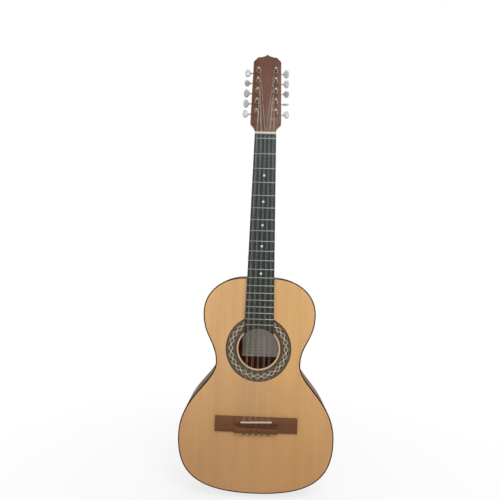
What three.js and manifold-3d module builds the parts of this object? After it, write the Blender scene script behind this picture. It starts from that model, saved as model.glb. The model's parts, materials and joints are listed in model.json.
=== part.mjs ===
// Electric viola caipira: a waisted guitar with ten steel strings in five courses.
// Millimetres. +Z runs up the neck, the soundboard faces -Y and the bass side is -X.
// The origin is the middle of the tail edge, halfway through the depth of the ribs.
import * as THREE from 'three';
import { mergeVertices } from 'three/addons/utils/BufferGeometryUtils.js';
import Module from 'manifold-3d';

const wasm = await Module();
wasm.setup();

// Scale and frets
const scaleLength = 580;
const saddleSetback = 2.5;
const fretCount = 19;
const bodyJoinFret = 12;
const semitonesPerOctave = 12;

// Body outline: the lower bout from the tail, the waist and the upper bout from the neck
const bodyLength = 440;
const upperHalfWidth = 116.1;
const upperBoutDrop = 74;
const waistHalfWidth = 87.1;
const waistDrop = 177.2;
const lowerHalfWidth = 159.4;
const lowerBoutHeight = 112.6;
const neckSeatHalfWidth = 30;
const tailDepth = 92;
const neckDepth = 84;
const outlineSteps = 8;
const outlineShares = {
  tailReach: 0.79, lowerFall: 0.629, lowerRise: 0.529, waistFall: 0.275,
  waistRise: 0.411, upperFall: 0.496, shoulderRise: 0.581, shoulderReach: 0.562,
};

// Body walls
const topThickness = 3;
const backThickness = 3;
const ribThickness = 2.2;
const bindingWidth = 2;
const bindingHeight = 5;
const liningWidth = 6;
const liningHeight = 13;
const glueGap = 0.3;
const seatGap = 0.3;
const cutOverrun = 2;

// Braces and bars
const barWidth = 8;
const barHeight = 13;
const barTipHeight = 4;
const barTipLength = 45;
const barEndGap = 1.5;
const upperBarRise = 62;
const lowerBarDrop = 58;
const fanCount = 5;
const fanPitch = 46;
const fanWidth = 6;
const fanHeight = 5;
const fanTailGap = 22;
const fanSpreadShare = 0.62;
const backBarShares = [0.16, 0.43, 0.785];

// Blocks inside the body
const neckBlockHalfWidth = 28;
const neckBlockLength = 40;
const endBlockHalfWidth = 36;
const endBlockLength = 16;

// Soundhole and rosette
const soundholeDrop = 146;
const soundholeRadius = 41.8;
const rosetteInnerRadius = 44.5;
const rosetteOuterRadius = 67.5;
const rosetteDepth = 1;
const roundSteps = 36;

// Neck and fretboard
const nutHalfWidth = 22.4;
const joinHalfWidth = 28;
const boardThickness = 6;
const nutLead = 9.4;
const nutThickness = 4.2;
const nutStand = 1.9;
const shaftDepthAtNut = 15;
const shaftDepthAtHeel = 17;
const heelRise = 62;
const heelCapLength = 13;
const heelNarrowShare = 0.5;
const fretWidth = 2.2;
const fretHeight = 1;
const fretInset = 0.4;
const fretRoot = 0.6;
const rodWidth = 6;
const rodDepth = 9;
const rodStart = 24;
const rodEnd = 22;

// Headstock, measured from the nut along its own face
const headTilt = THREE.MathUtils.degToRad(13);
const headThickness = 15;
const headLength = 194;
const headShoulder = 26.1;
const headShoulderHalfWidth = 32.6;
const headCorner = 175;
const headCornerHalfWidth = 30.3;
const headChamfer = 186.5;
const headChamferHalfWidth = 20.6;
const headCrownHalfWidth = 7;
const headStraight = 5;

// Tuning machines
const machinesPerSide = 5;
const machinePitch = 25.7;
const firstPost = 47.5;
const postEdgeMargin = 11.9;
const postRadius = 3;
const postRise = 12;
const postTipLength = 0.8;
const postTipRadius = 2.3;
const postSides = 8;
const postBoreGap = 0.25;
const gearTeeth = 14;
const gearPitchRadius = 6;
const gearTipRadius = 6.75;
const gearRootRadius = 5.05;
const gearTipWidth = 0.8;
const gearRootWidth = 1.7;
const gearWidth = 4;
const gearScrewRadius = 2.6;
const gearScrewHeight = 1.2;
const wormPitchRadius = 2.7;
const wormTipRadius = 3.4;
const wormCoreRadius = 1.7;
const wormTipWidth = 0.6;
const wormRootWidth = 1.5;
const wormTurns = 3;
const wormSteps = 8;
const wormSink = 0.4;
const wormPlateGap = 0.6;
const lugGap = 0.35;
const lugThickness = 1.4;
const lugWall = 1.7;
const lugSides = 6;
const shaftLugGap = 0.2;
const plateThickness = 1.2;
const plateInnerReach = 7;
const plateOuterReach = 9.5;
const plateEndReach = 13;
const plateCorner = 3;
const buttonStand = 6;
const buttonLength = 12.5;
const buttonWidth = 18;
const buttonThickness = 6;
const buttonSides = 10;
const buttonTurns = {
  bass: [2, 34, 44, 82, 3],
  treble: [-7, -56, 76, 30, 42],
};

// Strings, from the bass side to the treble side
const stringDiameters = [0.66, 0.32, 0.56, 0.3, 0.46, 0.28, 0.34, 0.34, 0.28, 0.28];
const nutCourseSpan = 33.8;
const saddleCourseSpan = 49.2;
const nutPairGap = 2.2;
const saddlePairGap = 2.8;
const stringGap = 0.12;
const ballRadius = 1.25;
const windingTurns = 2;
const windingSteps = 10;
const windingGap = 0.55;
const windingPostGap = 0.3;
const windingRise = 9;
const tubeSides = 5;

// Bridge and saddle
const bridgeHalfLength = 84;
const bridgeBlockHalfLength = 42.5;
const bridgeStep = 4;
const bridgeFront = 7.7;
const bridgeRear = 23;
const bridgeBlockRear = 25.5;
const bridgeEdgeHeight = 3.4;
const wingHeight = 5.2;
const moundHeight = 9;
const moundHalfWidth = 3.4;
const valleyHeight = 3.6;
const valleyFront = 6;
const valleyRear = 12;
const tieBlockHeight = 8;
const tieHoleHeight = 4.6;
const tieHoleRadius = 1;
const saddleHalfLength = 31.5;
const saddleThickness = 3;
const saddleHeight = 12;
const saddleCrown = 0.5;
const saddleSlotFloor = 3.2;
const pickupHeight = 1.6;
const slotGap = 0.15;
const leadHoleRadius = 1.9;
const bridgePlateHalfLength = 80;
const bridgePlateHalfWidth = 17;
const bridgePlateThickness = 2.2;

// Preamp in the bass rib
const preampRise = 49.2;
const preampSetback = 5;
const preampLength = 70;
const preampWidth = 44;
const flangeThickness = 1.6;
const flangeLip = 4.5;
const circuitDepth = 22;
const sliderPitch = 9.5;
const sliderTravel = 14;
const sliderKnobWidth = 5.4;
const sliderKnobLength = 4.6;
const sliderKnobHeight = 2;
const sliderStemWidth = 2;
const sliderStemDepth = 5;
const sliderGap = 0.35;
const batteryLength = 48.5;
const batteryWidth = 26.5;
const batteryThickness = 17.5;
const drawerWall = 1.2;
const drawerFront = 1.8;
const drawerLip = 1.2;
const drawerGap = 0.35;
const bayWall = 1.5;

// Output jack in the tail
const jackBarrelRadius = 6.2;
const jackBoreRadius = 3.4;
const jackFlangeRadius = 10;
const jackFlangeThickness = 2;
const jackNeckRadius = 7.4;
const jackNeckLength = 6;
const jackCapThickness = 3;
const jackInnerLength = 24;
const jackNutRadius = 9;
const jackNutThickness = 3;
const jackSides = 12;
const jackHoleGap = 0.4;

// Inner leads
const leadRadius = 1.1;
const leadSides = 6;
const plugWidth = 9;
const plugLength = 14;
const plugHeight = 7;
const leadBend = 8;
// Places along each lead, as shares of the lower half width, the tail depth and the body length
const pickupLeadShares = [
  [-0.184, -0.37, 0.335], [-0.215, -0.293, 0.35], [-0.297, -0.293, 0.449],
  [-0.41, -0.283, 0.585], [-0.422, -0.196, 0.658],
];
const outputLeadShares = [
  [-0.414, 0.152, 0.595], [-0.452, 0.174, 0.5], [-0.527, 0.196, 0.318], [-0.439, 0.174, 0.182],
  [-0.188, 0.087, 0.127], [-0.025, 0, 0.123],
];

// Derived places
const waistHeight = bodyLength - waistDrop;
const upperBoutHeight = bodyLength - upperBoutDrop;
const preampHeight = waistHeight + preampRise;
const frontPlane = -tailDepth / 2;
const backPlaneAt = (height) => tailDepth / 2 - (tailDepth - neckDepth) * (height / bodyLength);
const zeroFretHeight = bodyLength + scaleLength * (1 - 2 ** (-bodyJoinFret / semitonesPerOctave));
const saddlePlace = zeroFretHeight - scaleLength - saddleSetback;
const fretPlace = (fret) => zeroFretHeight - scaleLength * (1 - 2 ** (-fret / semitonesPerOctave));
const boardTop = zeroFretHeight + nutLead;
const headBreak = boardTop + nutThickness;
const boardFace = frontPlane - boardThickness;
const soundholeHeight = bodyLength - soundholeDrop;
const neckHalfWidthAt = (height) => THREE.MathUtils.mapLinear(
  height, boardTop, bodyLength, nutHalfWidth, joinHalfWidth,
);
const v2 = (x, z) => new THREE.Vector2(x, z);
const v3 = (x, y, z) => new THREE.Vector3(x, y, z);
const ringRadius = (reach, sides) => reach / Math.cos(Math.PI / sides);

// Materials, with the colours of the photographed instrument
const finish = (hex, roughness, metalness = 0) => new THREE.MeshStandardMaterial({
  color: hex, roughness, metalness,
});
const finishes = {
  spruce: finish(0xc99f69, 0.35),
  braceWood: finish(0xd8bd90, 0.7),
  ribWood: finish(0x6f4630, 0.3),
  darkWood: finish(0x2c1c14, 0.4),
  blockWood: finish(0xb18a5c, 0.7),
  neckWood: finish(0x7a5546, 0.4),
  boardWood: finish(0x3c3a36, 0.5),
  bridgeWood: finish(0x684830, 0.55),
  bone: finish(0xe9dfcf, 0.45),
  inlay: finish(0x796c58, 0.4),
  steel: finish(0xb9b7b2, 0.3, 1),
  bronze: finish(0xb08a5a, 0.35, 1),
  pearl: finish(0xcfcdc9, 0.25),
  plastic: finish(0x17181a, 0.45),
  knob: finish(0xd9d9d6, 0.4),
  cell: finish(0x3b4a5c, 0.5),
};

// Closed bodies
function closedBody(positions, index) {
  const corner = (i) => v3(positions[3 * i], positions[3 * i + 1], positions[3 * i + 2]);
  let volume = 0;
  for (let i = 0; i < index.length; i += 3) {
    const normal = corner(index[i + 1]).cross(corner(index[i + 2]));
    volume += corner(index[i]).dot(normal);
  }
  const geometry = new THREE.BufferGeometry();
  geometry.setAttribute('position', new THREE.Float32BufferAttribute(positions, 3));
  geometry.setIndex(volume < 0 ? index.slice().reverse() : index);
  return geometry;
}

function solidOf(geometry) {
  const bare = mergeVertices(geometry);
  return new wasm.Manifold(new wasm.Mesh({
    numProp: 3,
    vertProperties: new Float32Array(bare.attributes.position.array),
    triVerts: new Uint32Array(bare.index.array),
  }));
}

function geometryOf(solid) {
  const mesh = solid.getMesh();
  const geometry = new THREE.BufferGeometry();
  geometry.setAttribute('position', new THREE.BufferAttribute(mesh.vertProperties, 3));
  geometry.setIndex(new THREE.BufferAttribute(mesh.triVerts, 1));
  return geometry;
}

const joined = (...geometries) => geometryOf(
  geometries.map(solidOf).reduce((whole, piece) => whole.add(piece)),
);
const cut = (geometry, ...tools) => geometryOf(
  tools.map(solidOf).reduce((whole, tool) => whole.subtract(tool), solidOf(geometry)),
);

// A plate seen from the front, between a front and a back that may vary over it
function slab(contour, holes, frontAt, backAt) {
  const loops = [contour, ...holes].map((loop, i) => (
    THREE.ShapeUtils.isClockWise(loop) === i > 0 ? loop : loop.slice().reverse()
  ));
  const all = loops.flat();
  const positions = [];
  for (const point of all) positions.push(point.x, frontAt(point), point.y);
  for (const point of all) positions.push(point.x, backAt(point), point.y);
  const index = [];
  for (const face of THREE.ShapeUtils.triangulateShape(loops[0], loops.slice(1))) {
    const turned = THREE.ShapeUtils.area(face.map((i) => all[i])) < 0;
    const [a, b, c] = turned ? face.slice().reverse() : face;
    index.push(a, b, c, all.length + a, all.length + c, all.length + b);
  }
  let start = 0;
  for (const loop of loops) {
    for (let i = 0; i < loop.length; i += 1) {
      const a = start + i;
      const b = start + ((i + 1) % loop.length);
      index.push(a, all.length + a, b, b, all.length + a, all.length + b);
    }
    start += loop.length;
  }
  return closedBody(positions, index);
}

const plate = (contour, holes, front, back) => slab(contour, holes, () => front, () => back);

// A skin over sections that all have the same number of points
function loft(sections) {
  const count = sections[0].length;
  const positions = sections.flat().flatMap((point) => [point.x, point.y, point.z]);
  const index = [];
  for (let k = 0; k + 1 < sections.length; k += 1) {
    for (let i = 0; i < count; i += 1) {
      const a = k * count + i;
      const b = k * count + ((i + 1) % count);
      index.push(a, b, b + count, a, b + count, a + count);
    }
  }
  const last = (sections.length - 1) * count;
  for (let i = 1; i + 1 < count; i += 1) {
    index.push(0, i + 1, i, last, last + i, last + i + 1);
  }
  return closedBody(positions, index);
}

// A round tube along points, with a radius at each
function tube(points, radii, sides) {
  const sections = [];
  let side = null;
  points.forEach((point, i) => {
    const before = points[Math.max(i - 1, 0)];
    const after = points[Math.min(i + 1, points.length - 1)];
    const ahead = after.clone().sub(before).normalize();
    if (side === null) {
      side = Math.abs(ahead.x) < Math.abs(ahead.z) ? v3(1, 0, 0) : v3(0, 0, 1);
    }
    side = side.clone().addScaledVector(ahead, -side.dot(ahead)).normalize();
    const up = ahead.clone().cross(side);
    sections.push(circleSteps(sides).map((angle) => point.clone()
      .addScaledVector(side, radii[i] * Math.cos(angle))
      .addScaledVector(up, radii[i] * Math.sin(angle))));
  });
  return loft(sections);
}

const circleSteps = (sides) => Array.from({ length: sides }, (_, i) => (i * 2 * Math.PI) / sides);
const circle = (x, z, radius, sides) => circleSteps(sides).map(
  (angle) => v2(x + radius * Math.cos(angle), z + radius * Math.sin(angle)),
);
const rectangle = (left, right, low, high) => [
  v2(left, low), v2(right, low), v2(right, high), v2(left, high),
];
const block = (left, right, front, back, low, high) => plate(
  rectangle(left, right, low, high), [], front, back,
);
const mirrored = (points) => points.map((point) => v2(-point.x, point.y)).reverse();

// Body outline
function trebleOutline() {
  const share = outlineShares;
  const lowerToWaist = waistHeight - lowerBoutHeight;
  const waistToUpper = upperBoutHeight - waistHeight;
  const path = new THREE.Path();
  path.moveTo(0, 0);
  path.bezierCurveTo(
    share.tailReach * lowerHalfWidth, 0,
    lowerHalfWidth, lowerBoutHeight * (1 - share.lowerFall),
    lowerHalfWidth, lowerBoutHeight,
  );
  path.bezierCurveTo(
    lowerHalfWidth, lowerBoutHeight + share.lowerRise * lowerToWaist,
    waistHalfWidth, waistHeight - share.waistFall * lowerToWaist,
    waistHalfWidth, waistHeight,
  );
  path.bezierCurveTo(
    waistHalfWidth, waistHeight + share.waistRise * waistToUpper,
    upperHalfWidth, upperBoutHeight - share.upperFall * waistToUpper,
    upperHalfWidth, upperBoutHeight,
  );
  path.bezierCurveTo(
    upperHalfWidth, upperBoutHeight + share.shoulderRise * (bodyLength - upperBoutHeight),
    neckSeatHalfWidth + share.shoulderReach * (upperHalfWidth - neckSeatHalfWidth), bodyLength,
    neckSeatHalfWidth, bodyLength,
  );
  path.lineTo(0, bodyLength);
  return path.getPoints(outlineSteps);
}

const trebleEdge = trebleOutline();
const wholeEdge = [...trebleEdge, ...mirrored(trebleEdge).slice(1, -1)];

function inset(distance) {
  return wholeEdge.map((point, i) => {
    const before = wholeEdge.at(i - 1);
    const after = wholeEdge[(i + 1) % wholeEdge.length];
    const along = after.clone().sub(before).normalize();
    return v2(point.x - along.y * distance, point.y + along.x * distance);
  });
}

function halfWidthAt(height, distance) {
  const edge = inset(distance).slice(0, trebleEdge.length);
  const next = edge.findIndex((point) => point.y >= height);
  const [low, high] = [edge[next - 1], edge[next]];
  return THREE.MathUtils.mapLinear(height, low.y, high.y, low.x, high.x);
}

const backFace = (point) => backPlaneAt(point.y);
const backInside = (point) => backPlaneAt(point.y) - backThickness;
const topInside = frontPlane + topThickness;

// Braces: bars that taper towards their ends, lying across the body
function crossBar(height, base, rise, endInset) {
  const sides = [height - barWidth / 2, height + barWidth / 2];
  const reach = Math.min(...sides.map((z) => halfWidthAt(z, endInset))) - barEndGap;
  const flat = Math.max(reach - barTipLength, barWidth);
  const tip = Math.sign(rise) * barTipHeight;
  const profile = [
    [-reach, 0], [reach, 0], [reach, tip], [flat, rise], [-flat, rise], [-reach, tip],
  ];
  const low = height - barWidth / 2;
  const section = (z) => profile.map(([x, y]) => v3(x, base(v2(0, z)) + y, z));
  return loft([section(low), section(low + barWidth)]);
}

function fanBar(place) {
  const lean = place * fanPitch;
  const top = soundholeHeight - lowerBarDrop - barWidth;
  const foot = fanTailGap + Math.abs(place) * fanPitch * (1 - fanSpreadShare);
  const topX = lean * fanSpreadShare;
  const contour = [
    v2(lean - fanWidth / 2, foot), v2(lean + fanWidth / 2, foot),
    v2(topX + fanWidth / 2, top), v2(topX - fanWidth / 2, top),
  ];
  return plate(contour, [], topInside - glueGap, topInside + fanHeight);
}

// Soundboard with its rosette recess, cross bars and fan bars
function soundboard() {
  const hole = circle(0, soundholeHeight, soundholeRadius, roundSteps);
  const panel = plate(inset(bindingWidth + glueGap), [hole], frontPlane, topInside);
  const recess = plate(
    circle(0, soundholeHeight, rosetteOuterRadius + glueGap, roundSteps),
    [circle(0, soundholeHeight, rosetteInnerRadius - glueGap, roundSteps)],
    frontPlane - cutOverrun,
    frontPlane + rosetteDepth,
  );
  const liningInner = ribThickness + glueGap + liningWidth;
  const base = () => topInside - glueGap;
  const bars = [soundholeHeight + upperBarRise, soundholeHeight - lowerBarDrop].map(
    (height) => crossBar(height, base, barHeight + glueGap, liningInner),
  );
  const places = Array.from({ length: fanCount }, (_, i) => i - (fanCount - 1) / 2);
  const patchRoom = block(
    -bridgePlateHalfLength - seatGap, bridgePlateHalfLength + seatGap,
    topInside - cutOverrun, topInside + bridgePlateThickness + seatGap,
    bridgeCentre() - bridgePlateHalfWidth - seatGap,
    bridgeCentre() + bridgePlateHalfWidth + seatGap,
  );
  const fans = places.map((place) => cut(fanBar(place), patchRoom));
  return cut(joined(cut(panel, recess), ...bars, ...fans), leadHole());
}

const bridgeCentre = () => saddlePlace + (bridgeFront - bridgeRear) / 2;
const leadHole = () => plate(
  circle(leadHoleX(), saddlePlace, leadHoleRadius, leadSides),
  [],
  frontPlane - saddleSlotFloor - cutOverrun,
  topInside + bridgePlateThickness + cutOverrun,
);
const leadHoleX = () => -saddleHalfLength + leadHoleRadius + seatGap;

function rosette() {
  return plate(
    circle(0, soundholeHeight, rosetteOuterRadius, roundSteps),
    [circle(0, soundholeHeight, rosetteInnerRadius, roundSteps)],
    frontPlane,
    frontPlane + rosetteDepth,
  );
}

function backPlate() {
  const panel = slab(inset(bindingWidth + glueGap), [], backInside, backFace);
  const liningInner = ribThickness + glueGap + liningWidth;
  const base = (point) => backInside(point) + glueGap;
  const bars = backBarShares.map(
    (share) => crossBar(share * bodyLength, base, -barHeight - glueGap, liningInner),
  );
  return joined(panel, ...bars);
}

// Ribs, linings and bindings
function rib(side) {
  const outer = inset(0).slice(0, trebleEdge.length);
  const inner = inset(ribThickness).slice(0, trebleEdge.length);
  const half = [...outer, ...inner.reverse()];
  const contour = side < 0 ? mirrored(half) : half;
  return slab(
    contour, [],
    () => frontPlane + bindingHeight,
    (point) => backPlaneAt(point.y) - bindingHeight,
  );
}

const ribHole = (front, back) => plate(
  circle(0, 0, jackBarrelRadius + jackHoleGap, jackSides), [], front, back,
);

function jackHole() {
  const hole = ribHole(-cutOverrun, endBlockLength * 2);
  hole.rotateX(Math.PI / 2);
  return hole;
}

function trebleRib() {
  return cut(rib(1), jackHole());
}

function bassRib() {
  return cut(rib(-1), jackHole(), preampOpening());
}

const ring = (outer, inner, frontAt, backAt) => slab(
  inset(outer), [inset(inner)], frontAt, backAt,
);
const topBinding = () => ring(
  0, bindingWidth, () => frontPlane, () => frontPlane + bindingHeight,
);
const backBinding = () => ring(
  0, bindingWidth, (point) => backPlaneAt(point.y) - bindingHeight, backFace,
);

function lining(frontAt, backAt) {
  const outer = ribThickness + glueGap;
  return ring(outer, outer + liningWidth, frontAt, backAt);
}

const topLining = () => lining(() => topInside, () => topInside + liningHeight);
const backLining = () => lining(
  (point) => backInside(point) - liningHeight, backInside,
);

// Blocks: full depth inside the linings, and let in between them against the rib
function edgeWithin(halfWidth, atNeck, distance) {
  const edge = inset(distance).filter((point) => (point.y > bodyLength / 2) === atNeck);
  edge.sort((a, b) => a.x - b.x);
  const endAt = (x) => {
    const next = edge.findIndex((point) => point.x >= x);
    const [a, b] = [edge[next - 1], edge[next]];
    return v2(x, THREE.MathUtils.mapLinear(x, a.x, b.x, a.y, b.y));
  };
  const middle = edge.filter((point) => Math.abs(point.x) < halfWidth);
  return [endAt(-halfWidth), ...middle, endAt(halfWidth)];
}

function innerBlock(halfWidth, atNeck, length) {
  const far = atNeck ? bodyLength - ribThickness - length : ribThickness + length;
  const contour = (distance) => [
    ...edgeWithin(halfWidth, atNeck, distance), v2(halfWidth, far), v2(-halfWidth, far),
  ];
  const between = ribThickness + glueGap;
  const inside = between + liningWidth + glueGap;
  const core = slab(contour(inside), [], () => topInside, backInside);
  const tongue = slab(
    contour(between), [],
    () => topInside + liningHeight + glueGap,
    (point) => backInside(point) - liningHeight - glueGap,
  );
  return joined(core, tongue);
}

const neckBlock = () => innerBlock(neckBlockHalfWidth, true, neckBlockLength);
const endBlock = () => cut(innerBlock(endBlockHalfWidth, false, endBlockLength), jackHole());

// Neck: a D-shaped shaft that deepens into the heel, with the headstock
function neckSection(height, depth, heelShare, arcSteps) {
  const half = neckHalfWidthAt(height);
  const points = [];
  for (let i = 0; i <= arcSteps; i += 1) {
    const angle = (Math.PI * i) / arcSteps;
    const narrow = 1 - heelNarrowShare * heelShare * Math.sin(angle);
    points.push(v3(
      half * Math.cos(angle) * narrow,
      frontPlane + depth * Math.sin(angle) ** (1 - heelShare / 2),
      height,
    ));
  }
  return points;
}

function neckShaft() {
  const arcSteps = 12;
  const heelDepth = backPlaneAt(bodyLength) - frontPlane;
  const coveShares = [0, 0.03, 0.12, 0.28, 0.55, 1];
  const capTop = bodyLength + heelCapLength;
  const sections = [neckSection(headBreak, shaftDepthAtNut, 0, arcSteps)];
  for (const share of coveShares.slice().reverse()) {
    const depth = heelDepth - (heelDepth - shaftDepthAtHeel) * Math.sqrt(1 - (1 - share) ** 2);
    const heelShare = (depth - shaftDepthAtHeel) / (heelDepth - shaftDepthAtHeel);
    sections.push(neckSection(capTop + share * (heelRise - heelCapLength), depth, heelShare, arcSteps));
  }
  sections.push(neckSection(bodyLength + seatGap, heelDepth, 1, arcSteps));
  return loft(sections);
}

function headOutline() {
  const path = new THREE.Path();
  path.moveTo(nutHalfWidth, 0);
  path.lineTo(nutHalfWidth, headStraight);
  path.quadraticCurveTo(
    nutHalfWidth, (headStraight + headShoulder) / 2, headShoulderHalfWidth, headShoulder,
  );
  path.lineTo(headCornerHalfWidth, headCorner);
  path.lineTo(headChamferHalfWidth, headChamfer);
  path.quadraticCurveTo(headCrownHalfWidth, headChamfer, 0, headLength);
  const treble = path.getPoints(outlineSteps / 2);
  return [...treble, ...mirrored(treble).slice(1)];
}

const headHalfWidthAt = (along) => THREE.MathUtils.mapLinear(
  along, headShoulder, headCorner, headShoulderHalfWidth, headCornerHalfWidth,
);
const postPlace = (row) => firstPost + row * machinePitch;
const rowSplay = Math.atan2(headShoulderHalfWidth - headCornerHalfWidth, headCorner - headShoulder);
const rows = Array.from({ length: machinesPerSide }, (_, i) => i);

function headstockPlate() {
  const sides = 10;
  const bore = ringRadius(postRadius + postBoreGap, sides);
  const holes = [-1, 1].flatMap((side) => rows.map((row) => circle(
    side * (headHalfWidthAt(postPlace(row)) - postEdgeMargin), postPlace(row), bore, sides,
  )));
  return plate(headOutline(), holes, 0, headThickness);
}

function headFrame() {
  const frame = new THREE.Group();
  frame.position.set(0, frontPlane, headBreak);
  frame.rotation.x = -headTilt;
  frame.updateMatrixWorld(true);
  return frame;
}

function neck() {
  const head = headstockPlate().applyMatrix4(headFrame().matrixWorld);
  const channel = block(
    -rodWidth / 2 - seatGap, rodWidth / 2 + seatGap,
    frontPlane - cutOverrun, frontPlane + rodDepth + seatGap,
    bodyLength + rodStart - seatGap, boardTop - rodEnd + seatGap,
  );
  return cut(joined(neckShaft(), head), channel);
}

const neckRod = () => block(
  -rodWidth / 2, rodWidth / 2, frontPlane + seatGap, frontPlane + rodDepth,
  bodyLength + rodStart, boardTop - rodEnd,
);

// Fretboard with the zero fret and the frets, its end following the soundhole
function fretboard() {
  const endHalf = neckHalfWidthAt(soundholeHeight + soundholeRadius * Math.SQRT1_2);
  const reach = Math.asin(endHalf / soundholeRadius);
  const arcSteps = 10;
  const end = Array.from({ length: arcSteps + 1 }, (_, i) => {
    const angle = -reach + (2 * reach * i) / arcSteps;
    return v2(
      soundholeRadius * Math.sin(angle),
      soundholeHeight + soundholeRadius * Math.cos(angle),
    );
  });
  const contour = [...end, v2(nutHalfWidth, boardTop), v2(-nutHalfWidth, boardTop)];
  const board = plate(contour, [], boardFace, frontPlane);
  const profile = [
    [-fretWidth / 2, fretRoot], [fretWidth / 2, fretRoot], [fretWidth / 2, -fretHeight / 3],
    [fretWidth / 4, -fretHeight], [-fretWidth / 4, -fretHeight], [-fretWidth / 2, -fretHeight / 3],
  ];
  const frets = [];
  for (let fret = 0; fret <= fretCount; fret += 1) {
    const height = fretPlace(fret);
    const half = neckHalfWidthAt(height) - fretInset;
    frets.push(loft([-half, half].map(
      (x) => profile.map(([z, y]) => v3(x, boardFace + y, height + z)),
    )));
  }
  return joined(board, ...frets);
}

// Strings: where each lies at the nut and at the saddle
const courses = stringDiameters.length / 2;
function stringPlace(string, span, pairGap) {
  const course = Math.floor(string / 2);
  const within = (string % 2) * 2 - 1;
  return -span / 2 + (span * course) / (courses - 1) + (within * pairGap) / 2;
}
const nutPlace = (string) => stringPlace(string, nutCourseSpan, nutPairGap);
const tiePlace = (string) => stringPlace(string, saddleCourseSpan, saddlePairGap);

const zeroFretTop = boardFace - fretHeight;
const stringAtFret = (radius) => zeroFretTop - stringGap - radius;

function nut() {
  const slots = stringDiameters.map((diameter, string) => {
    const half = diameter / 2 + stringGap;
    return block(
      nutPlace(string) - half, nutPlace(string) + half,
      boardFace - nutStand - cutOverrun, zeroFretTop + stringGap,
      boardTop - cutOverrun, headBreak + cutOverrun,
    );
  });
  const half = nutHalfWidth;
  const body = block(-half, half, boardFace - nutStand, frontPlane, boardTop, headBreak);
  return cut(body, ...slots);
}

// Post winding in the headstock frame: y is negative in front of its face
function windingPoints(string, radius) {
  const side = string < machinesPerSide ? -1 : 1;
  const row = side < 0 ? string : stringDiameters.length - 1 - string;
  const centre = v2(side * (headHalfWidthAt(postPlace(row)) - postEdgeMargin), postPlace(row));
  const reach = postRadius + windingPostGap + radius;
  const start = v2(nutPlace(string), 0);
  const toPost = centre.clone().sub(start);
  const tangent = Math.acos(reach / toPost.length());
  const facing = Math.atan2(-toPost.y, -toPost.x);
  const first = facing - side * tangent;
  const pitch = 2 * radius + windingGap;
  const steps = windingTurns * windingSteps;
  const points = [];
  for (let i = 0; i <= steps; i += 1) {
    const angle = first - (side * 2 * Math.PI * i) / windingSteps;
    points.push(v3(
      centre.x + reach * Math.cos(angle),
      -windingRise + (pitch * i) / windingSteps,
      centre.y + reach * Math.sin(angle),
    ));
  }
  return points;
}

function stringRoute(string) {
  const radius = stringDiameters[string] / 2;
  const tieX = tiePlace(string);
  const nutX = nutPlace(string);
  const tieY = frontPlane - tieHoleHeight;
  const rear = saddlePlace - bridgeBlockRear;
  const ballRear = rear - seatGap - 2 * ballRadius;
  const saddleTop = frontPlane - saddleHeight - stringGap - radius;
  const nutY = zeroFretTop + stringGap - radius - stringGap / 2;
  const head = headFrame().matrixWorld;
  const ball = [0, 1 / 4, 3 / 4, 1].map((share) => v3(tieX, tieY, ballRear + share * 2 * ballRadius));
  const run = [
    v3(tieX, tieY, rear),
    v3(tieX, tieY, saddlePlace - valleyRear),
    v3(tieX, saddleTop, saddlePlace - saddleThickness / 4),
    v3(tieX, saddleTop, saddlePlace + saddleThickness / 4),
    v3(nutX, stringAtFret(radius), zeroFretHeight),
    v3(nutX, nutY, boardTop),
    v3(nutX, nutY, headBreak),
  ];
  const wound = windingPoints(string, radius).map((point) => point.applyMatrix4(head));
  const thick = [radius, ballRadius, ballRadius, radius];
  const points = [...ball, ...run, ...wound];
  return { points, radii: points.map((_, i) => thick[i] ?? radius), wound, radius };
}

// The least gap between turns of one winding, measured on points a half turn or more apart
function leastWindingGap() {
  let least = Infinity;
  stringDiameters.forEach((_, string) => {
    const { wound, radius } = stringRoute(string);
    wound.forEach((point, i) => {
      for (let k = i + windingSteps / 2; k < wound.length; k += 1) {
        least = Math.min(least, point.distanceTo(wound[k]) - 2 * radius);
      }
    });
  });
  return least;
}

// Bridge, lofted along its length from one profile for the wings and one for the block
function bridgeProfile(x, wing) {
  const rear = wing ? bridgeRear : bridgeBlockRear;
  const tieFront = valleyRear + bridgeEdgeHeight / 4;
  const heights = wing
    ? [0, bridgeEdgeHeight, wingHeight, wingHeight, wingHeight, wingHeight, wingHeight,
      bridgeEdgeHeight, bridgeEdgeHeight, 0]
    : [0, bridgeEdgeHeight, moundHeight, moundHeight, valleyHeight, valleyHeight, tieBlockHeight,
      tieBlockHeight, bridgeEdgeHeight, 0];
  const places = [
    bridgeFront, bridgeFront, moundHalfWidth, -moundHalfWidth, -valleyFront, -valleyRear,
    -tieFront, (wing ? 0 : valleyHeight / 2) - rear, -rear, -rear,
  ];
  return places.map((place, i) => v3(x, frontPlane - heights[i], saddlePlace + place));
}

function bridge() {
  const shape = loft([
    bridgeProfile(-bridgeHalfLength, true),
    bridgeProfile(-bridgeBlockHalfLength - bridgeStep, true),
    bridgeProfile(-bridgeBlockHalfLength, false),
    bridgeProfile(bridgeBlockHalfLength, false),
    bridgeProfile(bridgeBlockHalfLength + bridgeStep, true),
    bridgeProfile(bridgeHalfLength, true),
  ]);
  const slot = block(
    -saddleHalfLength - slotGap, saddleHalfLength + slotGap,
    frontPlane - moundHeight - cutOverrun, frontPlane - saddleSlotFloor,
    saddlePlace - saddleThickness / 2 - slotGap, saddlePlace + saddleThickness / 2 + slotGap,
  );
  const holes = stringDiameters.map((_, string) => tube(
    [
      v3(tiePlace(string), frontPlane - tieHoleHeight, saddlePlace - bridgeBlockRear - cutOverrun),
      v3(tiePlace(string), frontPlane - tieHoleHeight, saddlePlace - valleyFront),
    ],
    [tieHoleRadius, tieHoleRadius],
    tubeSides + 1,
  ));
  return cut(shape, slot, leadHole(), ...holes);
}

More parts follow.
